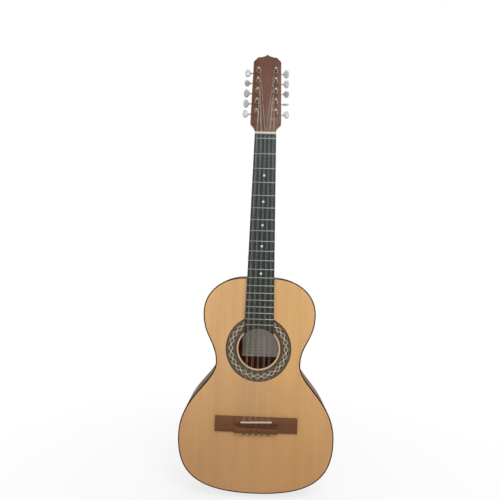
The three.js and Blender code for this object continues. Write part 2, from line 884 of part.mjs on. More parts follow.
function saddle() {
  const low = frontPlane - saddleSlotFloor - pickupHeight - slotGap;
  const top = frontPlane - saddleHeight;
  const half = saddleThickness / 2;
  const profile = [
    [-half, low], [half, low], [half, top + saddleCrown], [half / 2, top], [-half / 2, top],
    [-half, top + saddleCrown],
  ];
  return loft([-saddleHalfLength, saddleHalfLength].map(
    (x) => profile.map(([z, y]) => v3(x, y, saddlePlace + z)),
  ));
}

const pickup = () => block(
  -saddleHalfLength, saddleHalfLength,
  frontPlane - saddleSlotFloor - pickupHeight, frontPlane - saddleSlotFloor,
  saddlePlace - saddleThickness / 2, saddlePlace + saddleThickness / 2,
);

const bridgePlate = () => cut(block(
  -bridgePlateHalfLength, bridgePlateHalfLength,
  topInside, topInside + bridgePlateThickness,
  bridgeCentre() - bridgePlateHalfWidth, bridgeCentre() + bridgePlateHalfWidth,
), leadHole());

// Tuning machines, in a frame whose y = 0 is the headstock face and x points to the treble
const plateBack = headThickness + seatGap + plateThickness;
const shaftDepth = plateBack + wormPlateGap + wormTipRadius;
const wormRise = gearPitchRadius + wormPitchRadius;
const wormLead = (2 * Math.PI * gearPitchRadius) / gearTeeth;
const wormHalfLength = (wormLead * wormTurns) / 2 + wormRootWidth / 2;

function wormRidge() {
  const flank = (wormRootWidth - wormTipWidth) / 2 / (wormTipRadius - wormCoreRadius);
  const baseHalf = wormRootWidth / 2 + flank * wormSink;
  const base = wormCoreRadius - wormSink;
  const sections = [];
  for (let step = 0; step <= wormTurns * wormSteps; step += 1) {
    const turn = step / wormSteps - wormTurns / 2;
    const angle = 2 * Math.PI * turn - Math.PI / 2;
    const corner = (radius, shift) => v3(
      turn * wormLead + shift, radius * Math.cos(angle), radius * Math.sin(angle),
    );
    sections.push([
      corner(base, -baseHalf), corner(base, baseHalf),
      corner(wormTipRadius, wormTipWidth / 2), corner(wormTipRadius, -wormTipWidth / 2),
    ]);
  }
  return loft(sections);
}

// The button is an oval pearl grip, fuller towards its outer end and crowned on both faces
function button(side, start, turn) {
  const rim = (shrink, lift) => circleSteps(buttonSides).map((angle) => {
    const along = start + (buttonLength / 2) * (1 - Math.cos(angle) * shrink);
    const fullness = (1 - Math.cos(angle) / 8) * (buttonWidth / 2) * shrink;
    return v3(side * along, lift, fullness * Math.sin(angle));
  });
  const crown = buttonThickness / 2;
  const shape = loft([
    rim(3 / 4, -crown), rim(1, -crown / 3), rim(1, crown / 3), rim(3 / 4, crown),
  ]);
  return shape.rotateX(THREE.MathUtils.degToRad(turn));
}

function tunerKey(side, turn) {
  const inner = wormHalfLength + lugGap + lugThickness + lugGap;
  const start = postEdgeMargin + buttonStand;
  const ends = [-side * inner, side * (start + buttonLength / 2)];
  const shaft = loft(ends.map((x) => circleSteps(wormSteps).map(
    (angle) => v3(x, wormCoreRadius * Math.cos(angle), wormCoreRadius * Math.sin(angle)),
  )));
  return joined(shaft, wormRidge(), button(side, start, turn));
}

// The post ends in its gear: teeth slanted to the worm's lead, held by a screw
function gearLayer(depth, twist) {
  const points = [];
  for (let tooth = 0; tooth < gearTeeth; tooth += 1) {
    const middle = Math.PI / 2 + ((tooth + 1 / 2) * 2 * Math.PI) / gearTeeth + twist;
    for (const [radius, width] of [
      [gearRootRadius, -gearRootWidth], [gearTipRadius, -gearTipWidth],
      [gearTipRadius, gearTipWidth], [gearRootRadius, gearRootWidth],
    ]) {
      const angle = middle + width / 2 / radius;
      points.push(v3(radius * Math.cos(angle), depth, radius * Math.sin(angle)));
    }
  }
  return points;
}

const turned = (stations) => loft(stations.map(([depth, radius]) => circleSteps(postSides).map(
  (angle) => v3(radius * Math.cos(angle), depth, radius * Math.sin(angle)),
)));

function tunerPost() {
  const slant = wormLead / (2 * Math.PI * wormPitchRadius);
  const twist = (slant * gearWidth) / 2 / gearPitchRadius;
  const front = shaftDepth - gearWidth / 2;
  const back = shaftDepth + gearWidth / 2;
  const gear = loft([gearLayer(front, twist), gearLayer(back, -twist)]);
  const post = turned([
    [-postRise, postTipRadius], [-postRise + postTipLength, postRadius],
    [shaftDepth, postRadius],
  ]);
  const screw = turned([[shaftDepth, gearScrewRadius], [back + gearScrewHeight, gearScrewRadius]]);
  return joined(post, gear, screw);
}

// A strip plate with a bored lug on each side of every worm
function machinePlate(side) {
  const sides = 10;
  const bore = ringRadius(postRadius + postBoreGap, sides);
  const half = ((machinesPerSide - 1) * machinePitch) / 2;
  const tip = half + plateEndReach;
  const contour = [
    v2(-plateInnerReach + plateCorner, -tip), v2(plateOuterReach - plateCorner, -tip),
    v2(plateOuterReach, -tip + plateCorner), v2(plateOuterReach, tip - plateCorner),
    v2(plateOuterReach - plateCorner, tip), v2(-plateInnerReach + plateCorner, tip),
    v2(-plateInnerReach, tip - plateCorner), v2(-plateInnerReach, -tip + plateCorner),
  ].map((point) => v2(side * point.x, point.y));
  const places = rows.map((row) => -half + row * machinePitch);
  const holes = places.map((place) => circle(0, place, bore, sides));
  const strip = plate(contour, holes, headThickness + seatGap, plateBack);
  const shaftBore = ringRadius(wormCoreRadius + shaftLugGap, lugSides);
  const lugHalf = shaftBore + lugWall;
  const lugInner = wormHalfLength + lugGap;
  const lugs = places.flatMap((place) => [-1, 1].map((end) => {
    const profile = [
      v2(-lugHalf, plateBack - shaftDepth - plateThickness / 2),
      v2(lugHalf, plateBack - shaftDepth - plateThickness / 2),
      v2(lugHalf, lugHalf / 2), v2(lugHalf / 2, lugHalf), v2(-lugHalf / 2, lugHalf),
      v2(-lugHalf, lugHalf / 2),
    ];
    const lug = plate(profile, [circle(0, 0, shaftBore, lugSides)], 0, lugThickness);
    lug.applyMatrix4(new THREE.Matrix4().makeBasis(v3(0, 0, 1), v3(1, 0, 0), v3(0, 1, 0)));
    const inner = end * (lugInner + lugThickness / 2) - lugThickness / 2;
    return lug.translate(inner, shaftDepth, place + wormRise);
  }));
  return joined(strip, ...lugs);
}

// Preamp, in a frame whose +X is the rib's outward normal and +Z runs up the rib
function preampFrame() {
  const half = preampLength / 2;
  const low = halfWidthAt(preampHeight - half, 0);
  const high = halfWidthAt(preampHeight + half, 0);
  const lean = Math.atan2(high - low, preampLength);
  const frame = new THREE.Group();
  frame.position.set(-(low + high) / 2, preampSetback, preampHeight);
  frame.quaternion.setFromRotationMatrix(new THREE.Matrix4().makeBasis(
    v3(-Math.cos(lean), 0, -Math.sin(lean)),
    v3(0, -1, 0),
    v3(-Math.sin(lean), 0, Math.cos(lean)),
  ));
  frame.updateMatrixWorld(true);
  const inward = frame.matrixWorld.clone().invert();
  const behind = wholeEdge.filter((point) => point.x < 0)
    .map((point) => v3(point.x, 0, point.y).applyMatrix4(inward))
    .filter((point) => Math.abs(point.z) < half);
  const proud = Math.max(0, ...behind.map((point) => point.x));
  return { frame, stand: proud + seatGap };
}

const preampSeat = preampFrame();
const drawerHalfThickness = batteryThickness / 2 + drawerGap + drawerWall / 2;
const drawerHalfWidth = batteryWidth / 2 + drawerGap + drawerWall;
const drawerDepth = batteryLength + 2 * drawerGap + drawerWall;
const bayHalfThickness = drawerHalfThickness + drawerGap;
const bayHalfWidth = drawerHalfWidth + drawerGap;
const coreHalfLength = preampLength / 2 - flangeLip;
const coreHalfWidth = preampWidth / 2 - flangeLip;
const bayPlace = coreHalfLength - bayWall - bayHalfThickness;
const sliderNames = ['volume_slider', 'bass_slider', 'middle_slider', 'treble_slider'];
const sliderPlace = (i) => -coreHalfLength + sliderPitch * (i + 1 / 2);
const flangeFace = preampSeat.stand + flangeThickness;

function preampOpening() {
  const room = coreHalfWidth + seatGap;
  const opening = block(
    -circuitDepth, preampSeat.stand + cutOverrun, -room, room,
    -coreHalfLength - seatGap, coreHalfLength + seatGap,
  );
  return opening.applyMatrix4(preampSeat.frame.matrixWorld);
}

function preampHousing() {
  const stand = preampSeat.stand;
  const flange = block(
    stand, flangeFace, -preampWidth / 2, preampWidth / 2, -preampLength / 2, preampLength / 2,
  );
  const circuit = block(
    -circuitDepth, stand + flangeThickness / 2, -coreHalfWidth, coreHalfWidth,
    -coreHalfLength, bayPlace,
  );
  const bay = block(
    flangeFace - drawerDepth - drawerFront - bayWall, stand + flangeThickness / 2,
    -coreHalfWidth, coreHalfWidth, bayPlace - bayHalfThickness - bayWall, coreHalfLength,
  );
  const room = block(
    flangeFace - drawerDepth - drawerFront, flangeFace + cutOverrun,
    -bayHalfWidth, bayHalfWidth, bayPlace - bayHalfThickness, bayPlace + bayHalfThickness,
  );
  const slots = sliderNames.map((_, i) => {
    const half = sliderStemWidth / 2 + sliderGap;
    const reach = (sliderTravel + sliderStemWidth) / 2 + sliderGap;
    return block(
      flangeFace - sliderStemDepth - sliderGap, flangeFace + cutOverrun, -reach, reach,
      sliderPlace(i) - half, sliderPlace(i) + half,
    );
  });
  return cut(joined(flange, circuit, bay), room, ...slots);
}

function slider() {
  const half = sliderStemWidth / 2;
  const stem = block(
    flangeFace - sliderStemDepth, flangeFace + sliderGap * 2, -half, half, -half, half,
  );
  const base = flangeFace + sliderGap;
  const knobHalf = [sliderKnobLength / 2, sliderKnobWidth / 2];
  const layer = (x, shrink) => [[-1, -1], [1, -1], [1, 1], [-1, 1]].map(
    ([y, z]) => v3(x, y * knobHalf[0] * shrink, z * knobHalf[1]),
  );
  const knob = loft([layer(base, 1), layer(base + sliderKnobHeight, 1 / 2)]);
  return joined(stem, knob);
}

// The tray is open towards the tail side, where the cell is laid in
function batteryDrawer() {
  const back = flangeFace - drawerDepth;
  const tray = block(
    back, flangeFace, -drawerHalfWidth, drawerHalfWidth,
    bayPlace - drawerHalfThickness, bayPlace + drawerHalfThickness,
  );
  const face = block(
    flangeFace + drawerGap, flangeFace + drawerGap + drawerFront,
    -drawerHalfWidth - drawerLip, drawerHalfWidth + drawerLip,
    bayPlace - drawerHalfThickness - drawerLip, bayPlace + drawerHalfThickness + drawerLip,
  );
  const bond = block(
    flangeFace - drawerGap, flangeFace + drawerFront, -drawerHalfWidth, drawerHalfWidth,
    bayPlace - drawerHalfThickness, bayPlace + drawerHalfThickness,
  );
  const room = block(
    back + drawerWall, back + drawerWall + batteryLength + 2 * drawerGap,
    -batteryWidth / 2 - drawerGap, batteryWidth / 2 + drawerGap,
    bayPlace - drawerHalfThickness - cutOverrun, bayPlace + drawerHalfThickness - drawerWall,
  );
  return cut(joined(tray, face, bond), room);
}

function battery() {
  const back = flangeFace - drawerDepth + drawerWall + drawerGap;
  const top = bayPlace + drawerHalfThickness - drawerWall - drawerGap;
  return block(
    back, back + batteryLength, -batteryWidth / 2, batteryWidth / 2, top - batteryThickness, top,
  );
}

// Output jack: a bored barrel through the end block, clamped by a flange and a nut
function endPinJack() {
  const stations = [
    [-jackFlangeThickness - jackNeckLength - jackCapThickness, jackFlangeRadius],
    [-jackFlangeThickness - jackNeckLength, jackFlangeRadius],
    [-jackFlangeThickness - jackNeckLength, jackNeckRadius],
    [-jackFlangeThickness, jackNeckRadius],
    [-jackFlangeThickness, jackFlangeRadius],
    [-seatGap, jackFlangeRadius],
    [-seatGap, jackBarrelRadius],
    [jackNutSeat(), jackBarrelRadius],
    [jackNutSeat(), jackNutRadius],
    [jackNutSeat() + jackNutThickness, jackNutRadius],
    [jackNutSeat() + jackNutThickness, jackBarrelRadius],
    [jackInnerLength + endBlockLength, jackBarrelRadius],
  ];
  const wall = stations.map(([height, radius]) => v2(radius, height));
  const bore = [v2(jackBoreRadius, stations.at(-1)[0]), v2(jackBoreRadius, stations[0][0])];
  const profile = [...wall, ...bore, wall[0]];
  const geometry = new THREE.LatheGeometry(profile, jackSides);
  geometry.deleteAttribute('normal');
  geometry.deleteAttribute('uv');
  const closed = mergeVertices(geometry);
  closed.rotateX(Math.PI / 2);
  return closedBody(Array.from(closed.attributes.position.array), Array.from(closed.index.array));
}

const jackNutSeat = () => ribThickness + endBlockLength + seatGap;

// One loom: the pickup lead and the output lead, both from the plug under the preamp
function wiringLoom() {
  const seat = preampSeat.frame.matrixWorld;
  const plugFace = -circuitDepth - seatGap;
  const plugPlace = (sliderPlace(0) + sliderPlace(3)) / 2;
  const plug = block(
    plugFace - plugHeight, plugFace, -plugLength / 2, plugLength / 2,
    plugPlace - plugWidth / 2, plugPlace + plugWidth / 2,
  ).applyMatrix4(seat);
  const plugAt = (y, depth) => v3(plugFace - depth, y, plugPlace).applyMatrix4(seat);
  const route = (shares) => shares.map(
    ([x, y, z]) => v3(x * lowerHalfWidth, y * tailDepth, z * bodyLength),
  );
  const pickupLead = new THREE.CatmullRomCurve3([
    v3(leadHoleX(), frontPlane - saddleSlotFloor + seatGap, saddlePlace),
    v3(leadHoleX(), topInside + bridgePlateThickness + leadRadius, saddlePlace),
    ...route(pickupLeadShares),
    plugAt(-plugLength / 4, plugHeight + leadBend),
    plugAt(-plugLength / 4, plugHeight / 2),
  ], false, 'centripetal');
  const outputLead = new THREE.CatmullRomCurve3([
    plugAt(plugLength / 4, plugHeight / 2),
    plugAt(plugLength / 4, plugHeight + leadBend),
    ...route(outputLeadShares),
    v3(0, 0, jackInnerLength + endBlockLength - plugHeight),
  ], false, 'centripetal');
  const lead = (curve, steps) => tube(
    curve.getSpacedPoints(steps), Array(steps + 1).fill(leadRadius), leadSides,
  );
  return joined(plug, lead(pickupLead, 26), lead(outputLead, 36));
}

// The whole instrument
const viola = new THREE.Group();

function add(parent, name, geometry, material) {
  const mesh = new THREE.Mesh(geometry, material);
  mesh.name = name;
  parent.add(mesh);
  return mesh;
}

add(viola, 'soundboard', soundboard(), finishes.spruce);
add(viola, 'back_plate', backPlate(), finishes.ribWood);
add(viola, 'rib_bass', bassRib(), finishes.ribWood);
add(viola, 'rib_treble', trebleRib(), finishes.ribWood);
add(viola, 'neck_block', neckBlock(), finishes.blockWood);
add(viola, 'end_block', endBlock(), finishes.blockWood);
add(viola, 'lining_top', topLining(), finishes.braceWood);
add(viola, 'lining_back', backLining(), finishes.braceWood);
add(viola, 'binding_top', topBinding(), finishes.darkWood);
add(viola, 'binding_back', backBinding(), finishes.darkWood);
add(viola, 'rosette', rosette(), finishes.inlay);
add(viola, 'bridge_plate', bridgePlate(), finishes.braceWood);
add(viola, 'bridge', bridge(), finishes.bridgeWood);
add(viola, 'saddle', saddle(), finishes.bone);
add(viola, 'piezo_pickup', pickup(), finishes.plastic);
add(viola, 'neck', neck(), finishes.neckWood);
add(viola, 'neck_rod', neckRod(), finishes.steel);
add(viola, 'fretboard', fretboard(), finishes.boardWood);
add(viola, 'nut', nut(), finishes.bone);
add(viola, 'end_pin_jack', endPinJack(), finishes.steel);
add(viola, 'wiring_loom', wiringLoom(), finishes.plastic);

stringDiameters.forEach((diameter, string) => {
  const { points, radii } = stringRoute(string);
  const name = `string_${String(string + 1).padStart(2, '0')}`;
  const wrapped = diameter > stringDiameters[6] ? finishes.bronze : finishes.steel;
  add(viola, name, tube(points, radii, tubeSides), wrapped);
});
console.log(`least gap between turns of a winding: ${leastWindingGap().toFixed(3)} mm`);

const head = headFrame();
viola.add(head);
for (const [sideName, side] of [['bass', -1], ['treble', 1]]) {
  const middle = postPlace((machinesPerSide - 1) / 2);
  const row = new THREE.Group();
  row.position.set(side * (headHalfWidthAt(middle) - postEdgeMargin), 0, middle);
  row.rotation.y = -side * rowSplay;
  head.add(row);
  add(row, `tuner_plate_${sideName}`, machinePlate(side), finishes.steel);
  for (const place of rows) {
    const along = ((place - (machinesPerSide - 1) / 2) * machinePitch) / Math.cos(rowSplay);
    const post = add(row, `post_${sideName}_${place + 1}`, tunerPost(), finishes.steel);
    post.position.set(0, 0, along);
    const turn = buttonTurns[sideName][place];
    const key = add(row, `key_${sideName}_${place + 1}`, tunerKey(side, turn), finishes.pearl);
    key.position.set(0, shaftDepth, along + wormRise);
  }
}

viola.add(preampSeat.frame);
add(preampSeat.frame, 'preamp_housing', preampHousing(), finishes.plastic);
sliderNames.forEach((name, i) => {
  add(preampSeat.frame, name, slider(), finishes.knob).position.set(0, 0, sliderPlace(i));
});
add(preampSeat.frame, 'battery_drawer', batteryDrawer(), finishes.plastic);
add(preampSeat.frame, 'battery', battery(), finishes.cell);

export default viola;
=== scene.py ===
# Looks of the electric viola caipira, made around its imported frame.
# Metres. +Z runs up the neck, the soundboard faces -Y and the bass side is -X.
import json
import math
import bmesh
import bpy
from mathutils import Matrix, Vector
from mathutils.geometry import tessellate_polygon


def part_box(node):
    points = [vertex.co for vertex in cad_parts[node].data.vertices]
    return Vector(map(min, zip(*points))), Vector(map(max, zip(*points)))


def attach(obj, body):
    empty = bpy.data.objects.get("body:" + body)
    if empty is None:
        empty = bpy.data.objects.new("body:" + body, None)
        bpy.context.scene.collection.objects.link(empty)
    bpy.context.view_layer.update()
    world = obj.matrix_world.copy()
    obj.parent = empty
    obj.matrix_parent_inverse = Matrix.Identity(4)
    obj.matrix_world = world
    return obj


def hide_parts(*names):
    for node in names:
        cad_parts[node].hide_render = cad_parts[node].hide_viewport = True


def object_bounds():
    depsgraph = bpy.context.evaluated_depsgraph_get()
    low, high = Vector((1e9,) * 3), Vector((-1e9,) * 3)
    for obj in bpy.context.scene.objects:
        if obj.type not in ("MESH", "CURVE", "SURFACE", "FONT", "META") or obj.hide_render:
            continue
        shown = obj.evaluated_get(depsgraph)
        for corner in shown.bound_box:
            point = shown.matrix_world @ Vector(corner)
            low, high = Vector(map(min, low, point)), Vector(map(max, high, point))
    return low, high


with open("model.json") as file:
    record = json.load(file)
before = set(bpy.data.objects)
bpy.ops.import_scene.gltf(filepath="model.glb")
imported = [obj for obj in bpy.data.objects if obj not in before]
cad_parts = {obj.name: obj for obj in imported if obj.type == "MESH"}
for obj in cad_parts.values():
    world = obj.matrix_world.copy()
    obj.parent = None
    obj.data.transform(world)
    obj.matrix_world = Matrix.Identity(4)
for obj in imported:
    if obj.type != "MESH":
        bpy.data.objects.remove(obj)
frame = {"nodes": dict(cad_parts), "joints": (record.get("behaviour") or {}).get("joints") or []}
cad_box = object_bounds()
MM = 0.001
TURN, QUARTER = 2 * math.pi, math.pi / 2
SEAM = 0.01 * MM
OVERCUT = 1 * MM


def in_mm(*pairs):
    return [(first * MM, second * MM) for first, second in pairs]


# Scale, frets and dots
SCALE_LENGTH, SADDLE_SETBACK = 580 * MM, 2.5 * MM
FRET_COUNT, BODY_JOIN_FRET = 19, 12
DOT_FRETS = (3, 5, 7, 9, 12)
DOT_RADIUS, SIDE_DOT_RADIUS = 2.5 * MM, 1 * MM
DOT_PROUD, DOT_DEPTH, DOT_BEVEL = 0.05 * MM, 0.8 * MM, 0.1 * MM

# Body outline: half widths and the heights where they lie, then how far each curve's handles reach
BODY_LENGTH = 440 * MM
LOWER_HALF_WIDTH, LOWER_BOUT_HEIGHT = 159.4 * MM, 112.6 * MM
WAIST_HALF_WIDTH, WAIST_HEIGHT = 87.1 * MM, 262.8 * MM
UPPER_HALF_WIDTH, UPPER_BOUT_HEIGHT = 116.1 * MM, 366 * MM
NECK_SEAT_HALF_WIDTH = 30 * MM
TAIL_DEPTH, NECK_DEPTH = 92 * MM, 84 * MM
OUTLINE_STEPS = 34
TAIL_REACH, LOWER_FALL, LOWER_RISE = 0.79, 0.629, 0.529
WAIST_FALL, WAIST_RISE, UPPER_FALL = 0.275, 0.411, 0.496
SHOULDER_RISE, SHOULDER_REACH = 0.581, 0.562

# Body walls, bindings, linings and braces
TOP_THICKNESS, BACK_THICKNESS, RIB_THICKNESS = 3 * MM, 3 * MM, 2.2 * MM
BINDING_WIDTH, BINDING_HEIGHT, BINDING_ROUND = 2 * MM, 5 * MM, 0.9 * MM
PURFLING = 0.4 * MM
GLUE_LINE, SEAT_GAP = 0.05 * MM, 0.3 * MM
LINING_WIDTH, LINING_HEIGHT, LINING_STRIP = 6 * MM, 13 * MM, 1.6 * MM
KERF_PITCH, KERF, KERF_TOE_SHARE = 6.5 * MM, 1.1 * MM, 0.35
BAR_WIDTH, BAR_HEIGHT, BAR_TIP_HEIGHT, BAR_TIP_LENGTH = 8 * MM, 13 * MM, 4 * MM, 45 * MM
BAR_END_GAP = 2 * MM
UPPER_BAR_RISE, LOWER_BAR_DROP = 62 * MM, 58 * MM
BACK_BAR_SHARES = (0.16, 0.43, 0.785)
FAN_COUNT, FAN_PITCH, FAN_SPREAD, FAN_TAIL_GAP = 5, 46 * MM, 0.62, 22 * MM
FAN_WIDTH, FAN_HEIGHT, FAN_TIP_SHARE, FAN_TIP_SLOPE = 6 * MM, 5 * MM, 0.35, 3
FAN_SECTION_SHARES = ((-1, 0), (1, 0), (1, 0.55), (0.5, 1), (-0.5, 1), (-1, 0.55))
SEAM_STRIP_WIDTH, SEAM_STRIP_FOOT, SEAM_STRIP_HEAD_GAP = 3.4 * MM, 12 * MM, 2.2 * MM
GRAFT_HALF_WIDTH, GRAFT_LINE_HALF_WIDTH, GRAFT_JACK_REACH = 6 * MM, 0.5 * MM, 10.2 * MM
INLAY_DEPTH, INLAY_PROUD = 0.3 * MM, 0.02 * MM

# Soundhole, rosette and label
SOUNDHOLE_HEIGHT, SOUNDHOLE_RADIUS = 294 * MM, 41.8 * MM
HOLE_SIDES, RING_SIDES = 128, 160
HOLE_BEVEL, RING_GAP = 0.2 * MM, 0.15 * MM
ROSETTE_INNER, ROSETTE_OUTER = 44.5 * MM, 67.5 * MM
ROSETTE_DEPTH, ROSETTE_FLOOR_GAP = 1 * MM, 0.02 * MM
CHAIN_RADIUS, CHAIN_LINKS, TILES_PER_LINK = 57 * MM, 24, 7
CHAIN_SINK, CHAIN_GAP, OVAL_SIDES = 0.06 * MM, 0.1 * MM, 24
LINK_REACH, LINK_SPAN, LINK_STROKE, LINK_HALF_DEPTH = 4.6 * MM, 6.3 * MM, 1.35 * MM, 0.12 * MM
HEART_HALF_DEPTH = 0.09 * MM
KNOT_REACH, KNOT_SPAN = 1.9 * MM, 1.5 * MM
LABEL_LEFT, LABEL_RIGHT = -36 * MM, 45 * MM
LABEL_LOW, LABEL_HIGH, LABEL_ARCH = 260.5 * MM, 300 * MM, 27 * MM
LABEL_THICKNESS, LABEL_RULE_PITCH = 0.25 * MM, 7 * MM

# Neck, fretboard, frets and headstock
NUT_HALF_WIDTH, JOIN_HALF_WIDTH = 22.4 * MM, 28 * MM
NUT_LEAD, NUT_THICKNESS = 9.4 * MM, 4.2 * MM
BOARD_THICKNESS, BOARD_ROUND = 6 * MM, 0.5 * MM
SHAFT_DEPTH_AT_NUT, SHAFT_DEPTH_AT_HEEL = 15 * MM, 17 * MM
HEEL_RISE, HEEL_CAP_LENGTH, HEEL_NARROW = 62 * MM, 13 * MM, 0.5
HEEL_STEPS, HEEL_SWEEP, NECK_ARC_STEPS = 22, 1.8, 44
FRET_WIDTH, FRET_HEIGHT, FRET_INSET, FRET_SINK = 2.2 * MM, 1 * MM, 0.4 * MM, 0.3 * MM
FRET_END_SHARES = ((-1, 0.35), (-0.985, 0.85), (-0.965, 1), (0.965, 1), (0.985, 0.85), (1, 0.35))
HEAD_TILT, HEAD_THICKNESS, HEAD_ROUND = math.radians(13), 15 * MM, 1.1 * MM
HEAD_STRAIGHT, HEAD_LENGTH = 5 * MM, 194 * MM
HEAD_SHOULDER, HEAD_SHOULDER_HALF_WIDTH = 26.1 * MM, 32.6 * MM
HEAD_CORNER, HEAD_CORNER_HALF_WIDTH = 175 * MM, 30.3 * MM
HEAD_CHAMFER, HEAD_CHAMFER_HALF_WIDTH = 186.5 * MM, 20.6 * MM
HEAD_CROWN_HALF_WIDTH = 7 * MM

# Tuning machines; profiles are pairs of depth and radius
MACHINES_PER_SIDE, MACHINE_PITCH = 5, 25.7 * MM
FIRST_POST, POST_EDGE_MARGIN = 47.5 * MM, 11.9 * MM
POST_RADIUS, POST_RISE, POST_BORE = 3 * MM, 12 * MM, 3.25 * MM
POST_TIP_PROFILE = in_mm(
    (-12, 0), (-12, 1.9), (-11.75, 2.3), (-11.1, 3), (-10.5, 3), (-10, 2.8), (-5.5, 2.8), (-4.8, 3))
STRING_HOLE_RADIUS, STRING_HOLE_REACH = 0.75 * MM, 5 * MM
STRING_HOLE_DROP, STRING_HOLE_TURN = 2.6 * MM, 0.6
GEAR_TEETH, GEAR_WIDTH, GEAR_BEVEL, GEAR_BEVEL_SHARE = 14, 4 * MM, 0.3 * MM, 0.86
GEAR_PITCH_RADIUS, GEAR_TIP_RADIUS, GEAR_ROOT_RADIUS = 6 * MM, 6.75 * MM, 5.05 * MM
GEAR_TIP_WIDTH, GEAR_ROOT_WIDTH, GEAR_FLANK_SWELL = 0.8 * MM, 1.7 * MM, 0.05 * MM
GEAR_SCREW_RADIUS, GEAR_SCREW_HEIGHT = 2.6 * MM, 1.2 * MM
GEAR_SCREW_SHARES = ((0.7, 1), (1, 0.75), (1, 0))
GEAR_SLOT_FLOOR, GEAR_SLOT_HALF_WIDTH = 0.5 * MM, 0.35 * MM
WORM_PITCH_RADIUS, WORM_TIP_RADIUS, WORM_CORE_RADIUS = 2.7 * MM, 3.4 * MM, 1.7 * MM
WORM_TIP_WIDTH, WORM_ROOT_WIDTH, WORM_SINK = 0.6 * MM, 1.5 * MM, 0.4 * MM
WORM_TURNS, WORM_STEPS, WORM_FADE_SHARE, WORM_FADE_SLOPE = 3, 40, 0.15, 5
WORM_PLATE_GAP, WORM_BEVEL = 0.6 * MM, 0.3 * MM
SHAFT_COLLAR_PROFILE = in_mm((-0.8, 1.7), (-0.8, 2.4), (-0.4, 2.7), (0.8, 2.7), (2, 1.7), (5, 0))
LUG_GAP, LUG_THICKNESS, LUG_WALL = 0.35 * MM, 1.4 * MM, 1.7 * MM
LUG_BORE, LUG_ROUND = 2 * MM, 0.2 * MM
PLATE_THICKNESS, PLATE_CORNER, PLATE_ROUND = 1.2 * MM, 3 * MM, 0.3 * MM
PLATE_INNER_REACH, PLATE_OUTER_REACH, PLATE_END_REACH = 7 * MM, 9.5 * MM, 13 * MM
PLATE_SCREW_RADIUS, PLATE_SCREW_HEIGHT = 1.7 * MM, 0.9 * MM
PLATE_SCREW_INSET, PLATE_SCREW_END_INSET = 4.4 * MM, 2.4 * MM
SCREW_PROFILE_SHARES = ((-1, 1), (0, 1), (0.6, 0.8), (1, 0.35), (1, 0))
SCREW_SLOT_LONG, SCREW_SLOT_WIDE, SCREW_SLOT_FLOOR = 0.6, 0.14, 0.35
BUTTON_STAND, BUTTON_LENGTH, BUTTON_WIDTH, BUTTON_THICKNESS = 6 * MM, 12.5 * MM, 18 * MM, 6 * MM
BUTTON_SIDES, BUTTON_EDGE_POWER, BUTTON_DISH, BUTTON_SWELL = 40, 3.4, 0.12, 1 / 8
BUTTON_LEVEL_SHARES = (-1, -0.985, -0.93, -0.82, -0.62, -0.32, 0, 0.32, 0.62, 0.82, 0.93, 0.985, 1)
BUTTON_TURNS = {"bass": (2, 34, 44, 82, 3), "treble": (-7, -56, 76, 30, 42)}
BUSHING_PROFILE = in_mm(
    (0.3, 3.15), (-1.2, 3.15), (-1.5, 3.5), (-1.5, 4.1), (-1.125, 4.7), (-0.45, 5.2), (0.3, 5.2))

# Strings, from the bass side to the treble side
STRING_DIAMETERS = [d * MM for d in (0.66, 0.32, 0.56, 0.3, 0.46, 0.28, 0.34, 0.34, 0.28, 0.28)]
WRAPPED, WRAP_PITCH = (0, 2, 4), 0.22 * MM
NUT_COURSES, SADDLE_COURSES = (33.8 * MM, 2.2 * MM), (49.2 * MM, 2.8 * MM)
STRING_GAP, STRING_BEND, STRING_SIDES = 0.12 * MM, 0.8 * MM, 10
WINDING_TURNS, WINDING_STEPS = 2, 36
WINDING_GAP, WINDING_POST_GAP, WINDING_RISE = 0.55 * MM, 0.3 * MM, 9 * MM
BALL_RADIUS, BALL_TAIL_GAP = 1.25 * MM, 0.4 * MM
BALL_PROFILE_SHARES = (
    (-0.95, 0.44), (-0.95, 1), (-0.6, 1), (-0.35, 0.76), (0.35, 0.76), (0.6, 1), (0.95, 1),
    (0.95, 0.44))

# Bridge and saddle
BRIDGE_BLOCK_REAR, TIE_HOLE_HEIGHT, VALLEY_REAR, MOUND_HEIGHT = 25.5 * MM, 4.6 * MM, 12 * MM, 9 * MM
SADDLE_THICKNESS, SADDLE_HEIGHT, SADDLE_HALF_LENGTH = 3 * MM, 12 * MM, 31.5 * MM
SADDLE_SLOT_FLOOR, SLOT_GAP, SLOT_SPARE = 3.2 * MM, 0.15 * MM, 0.05 * MM
SADDLE_SLANT = math.radians(2)

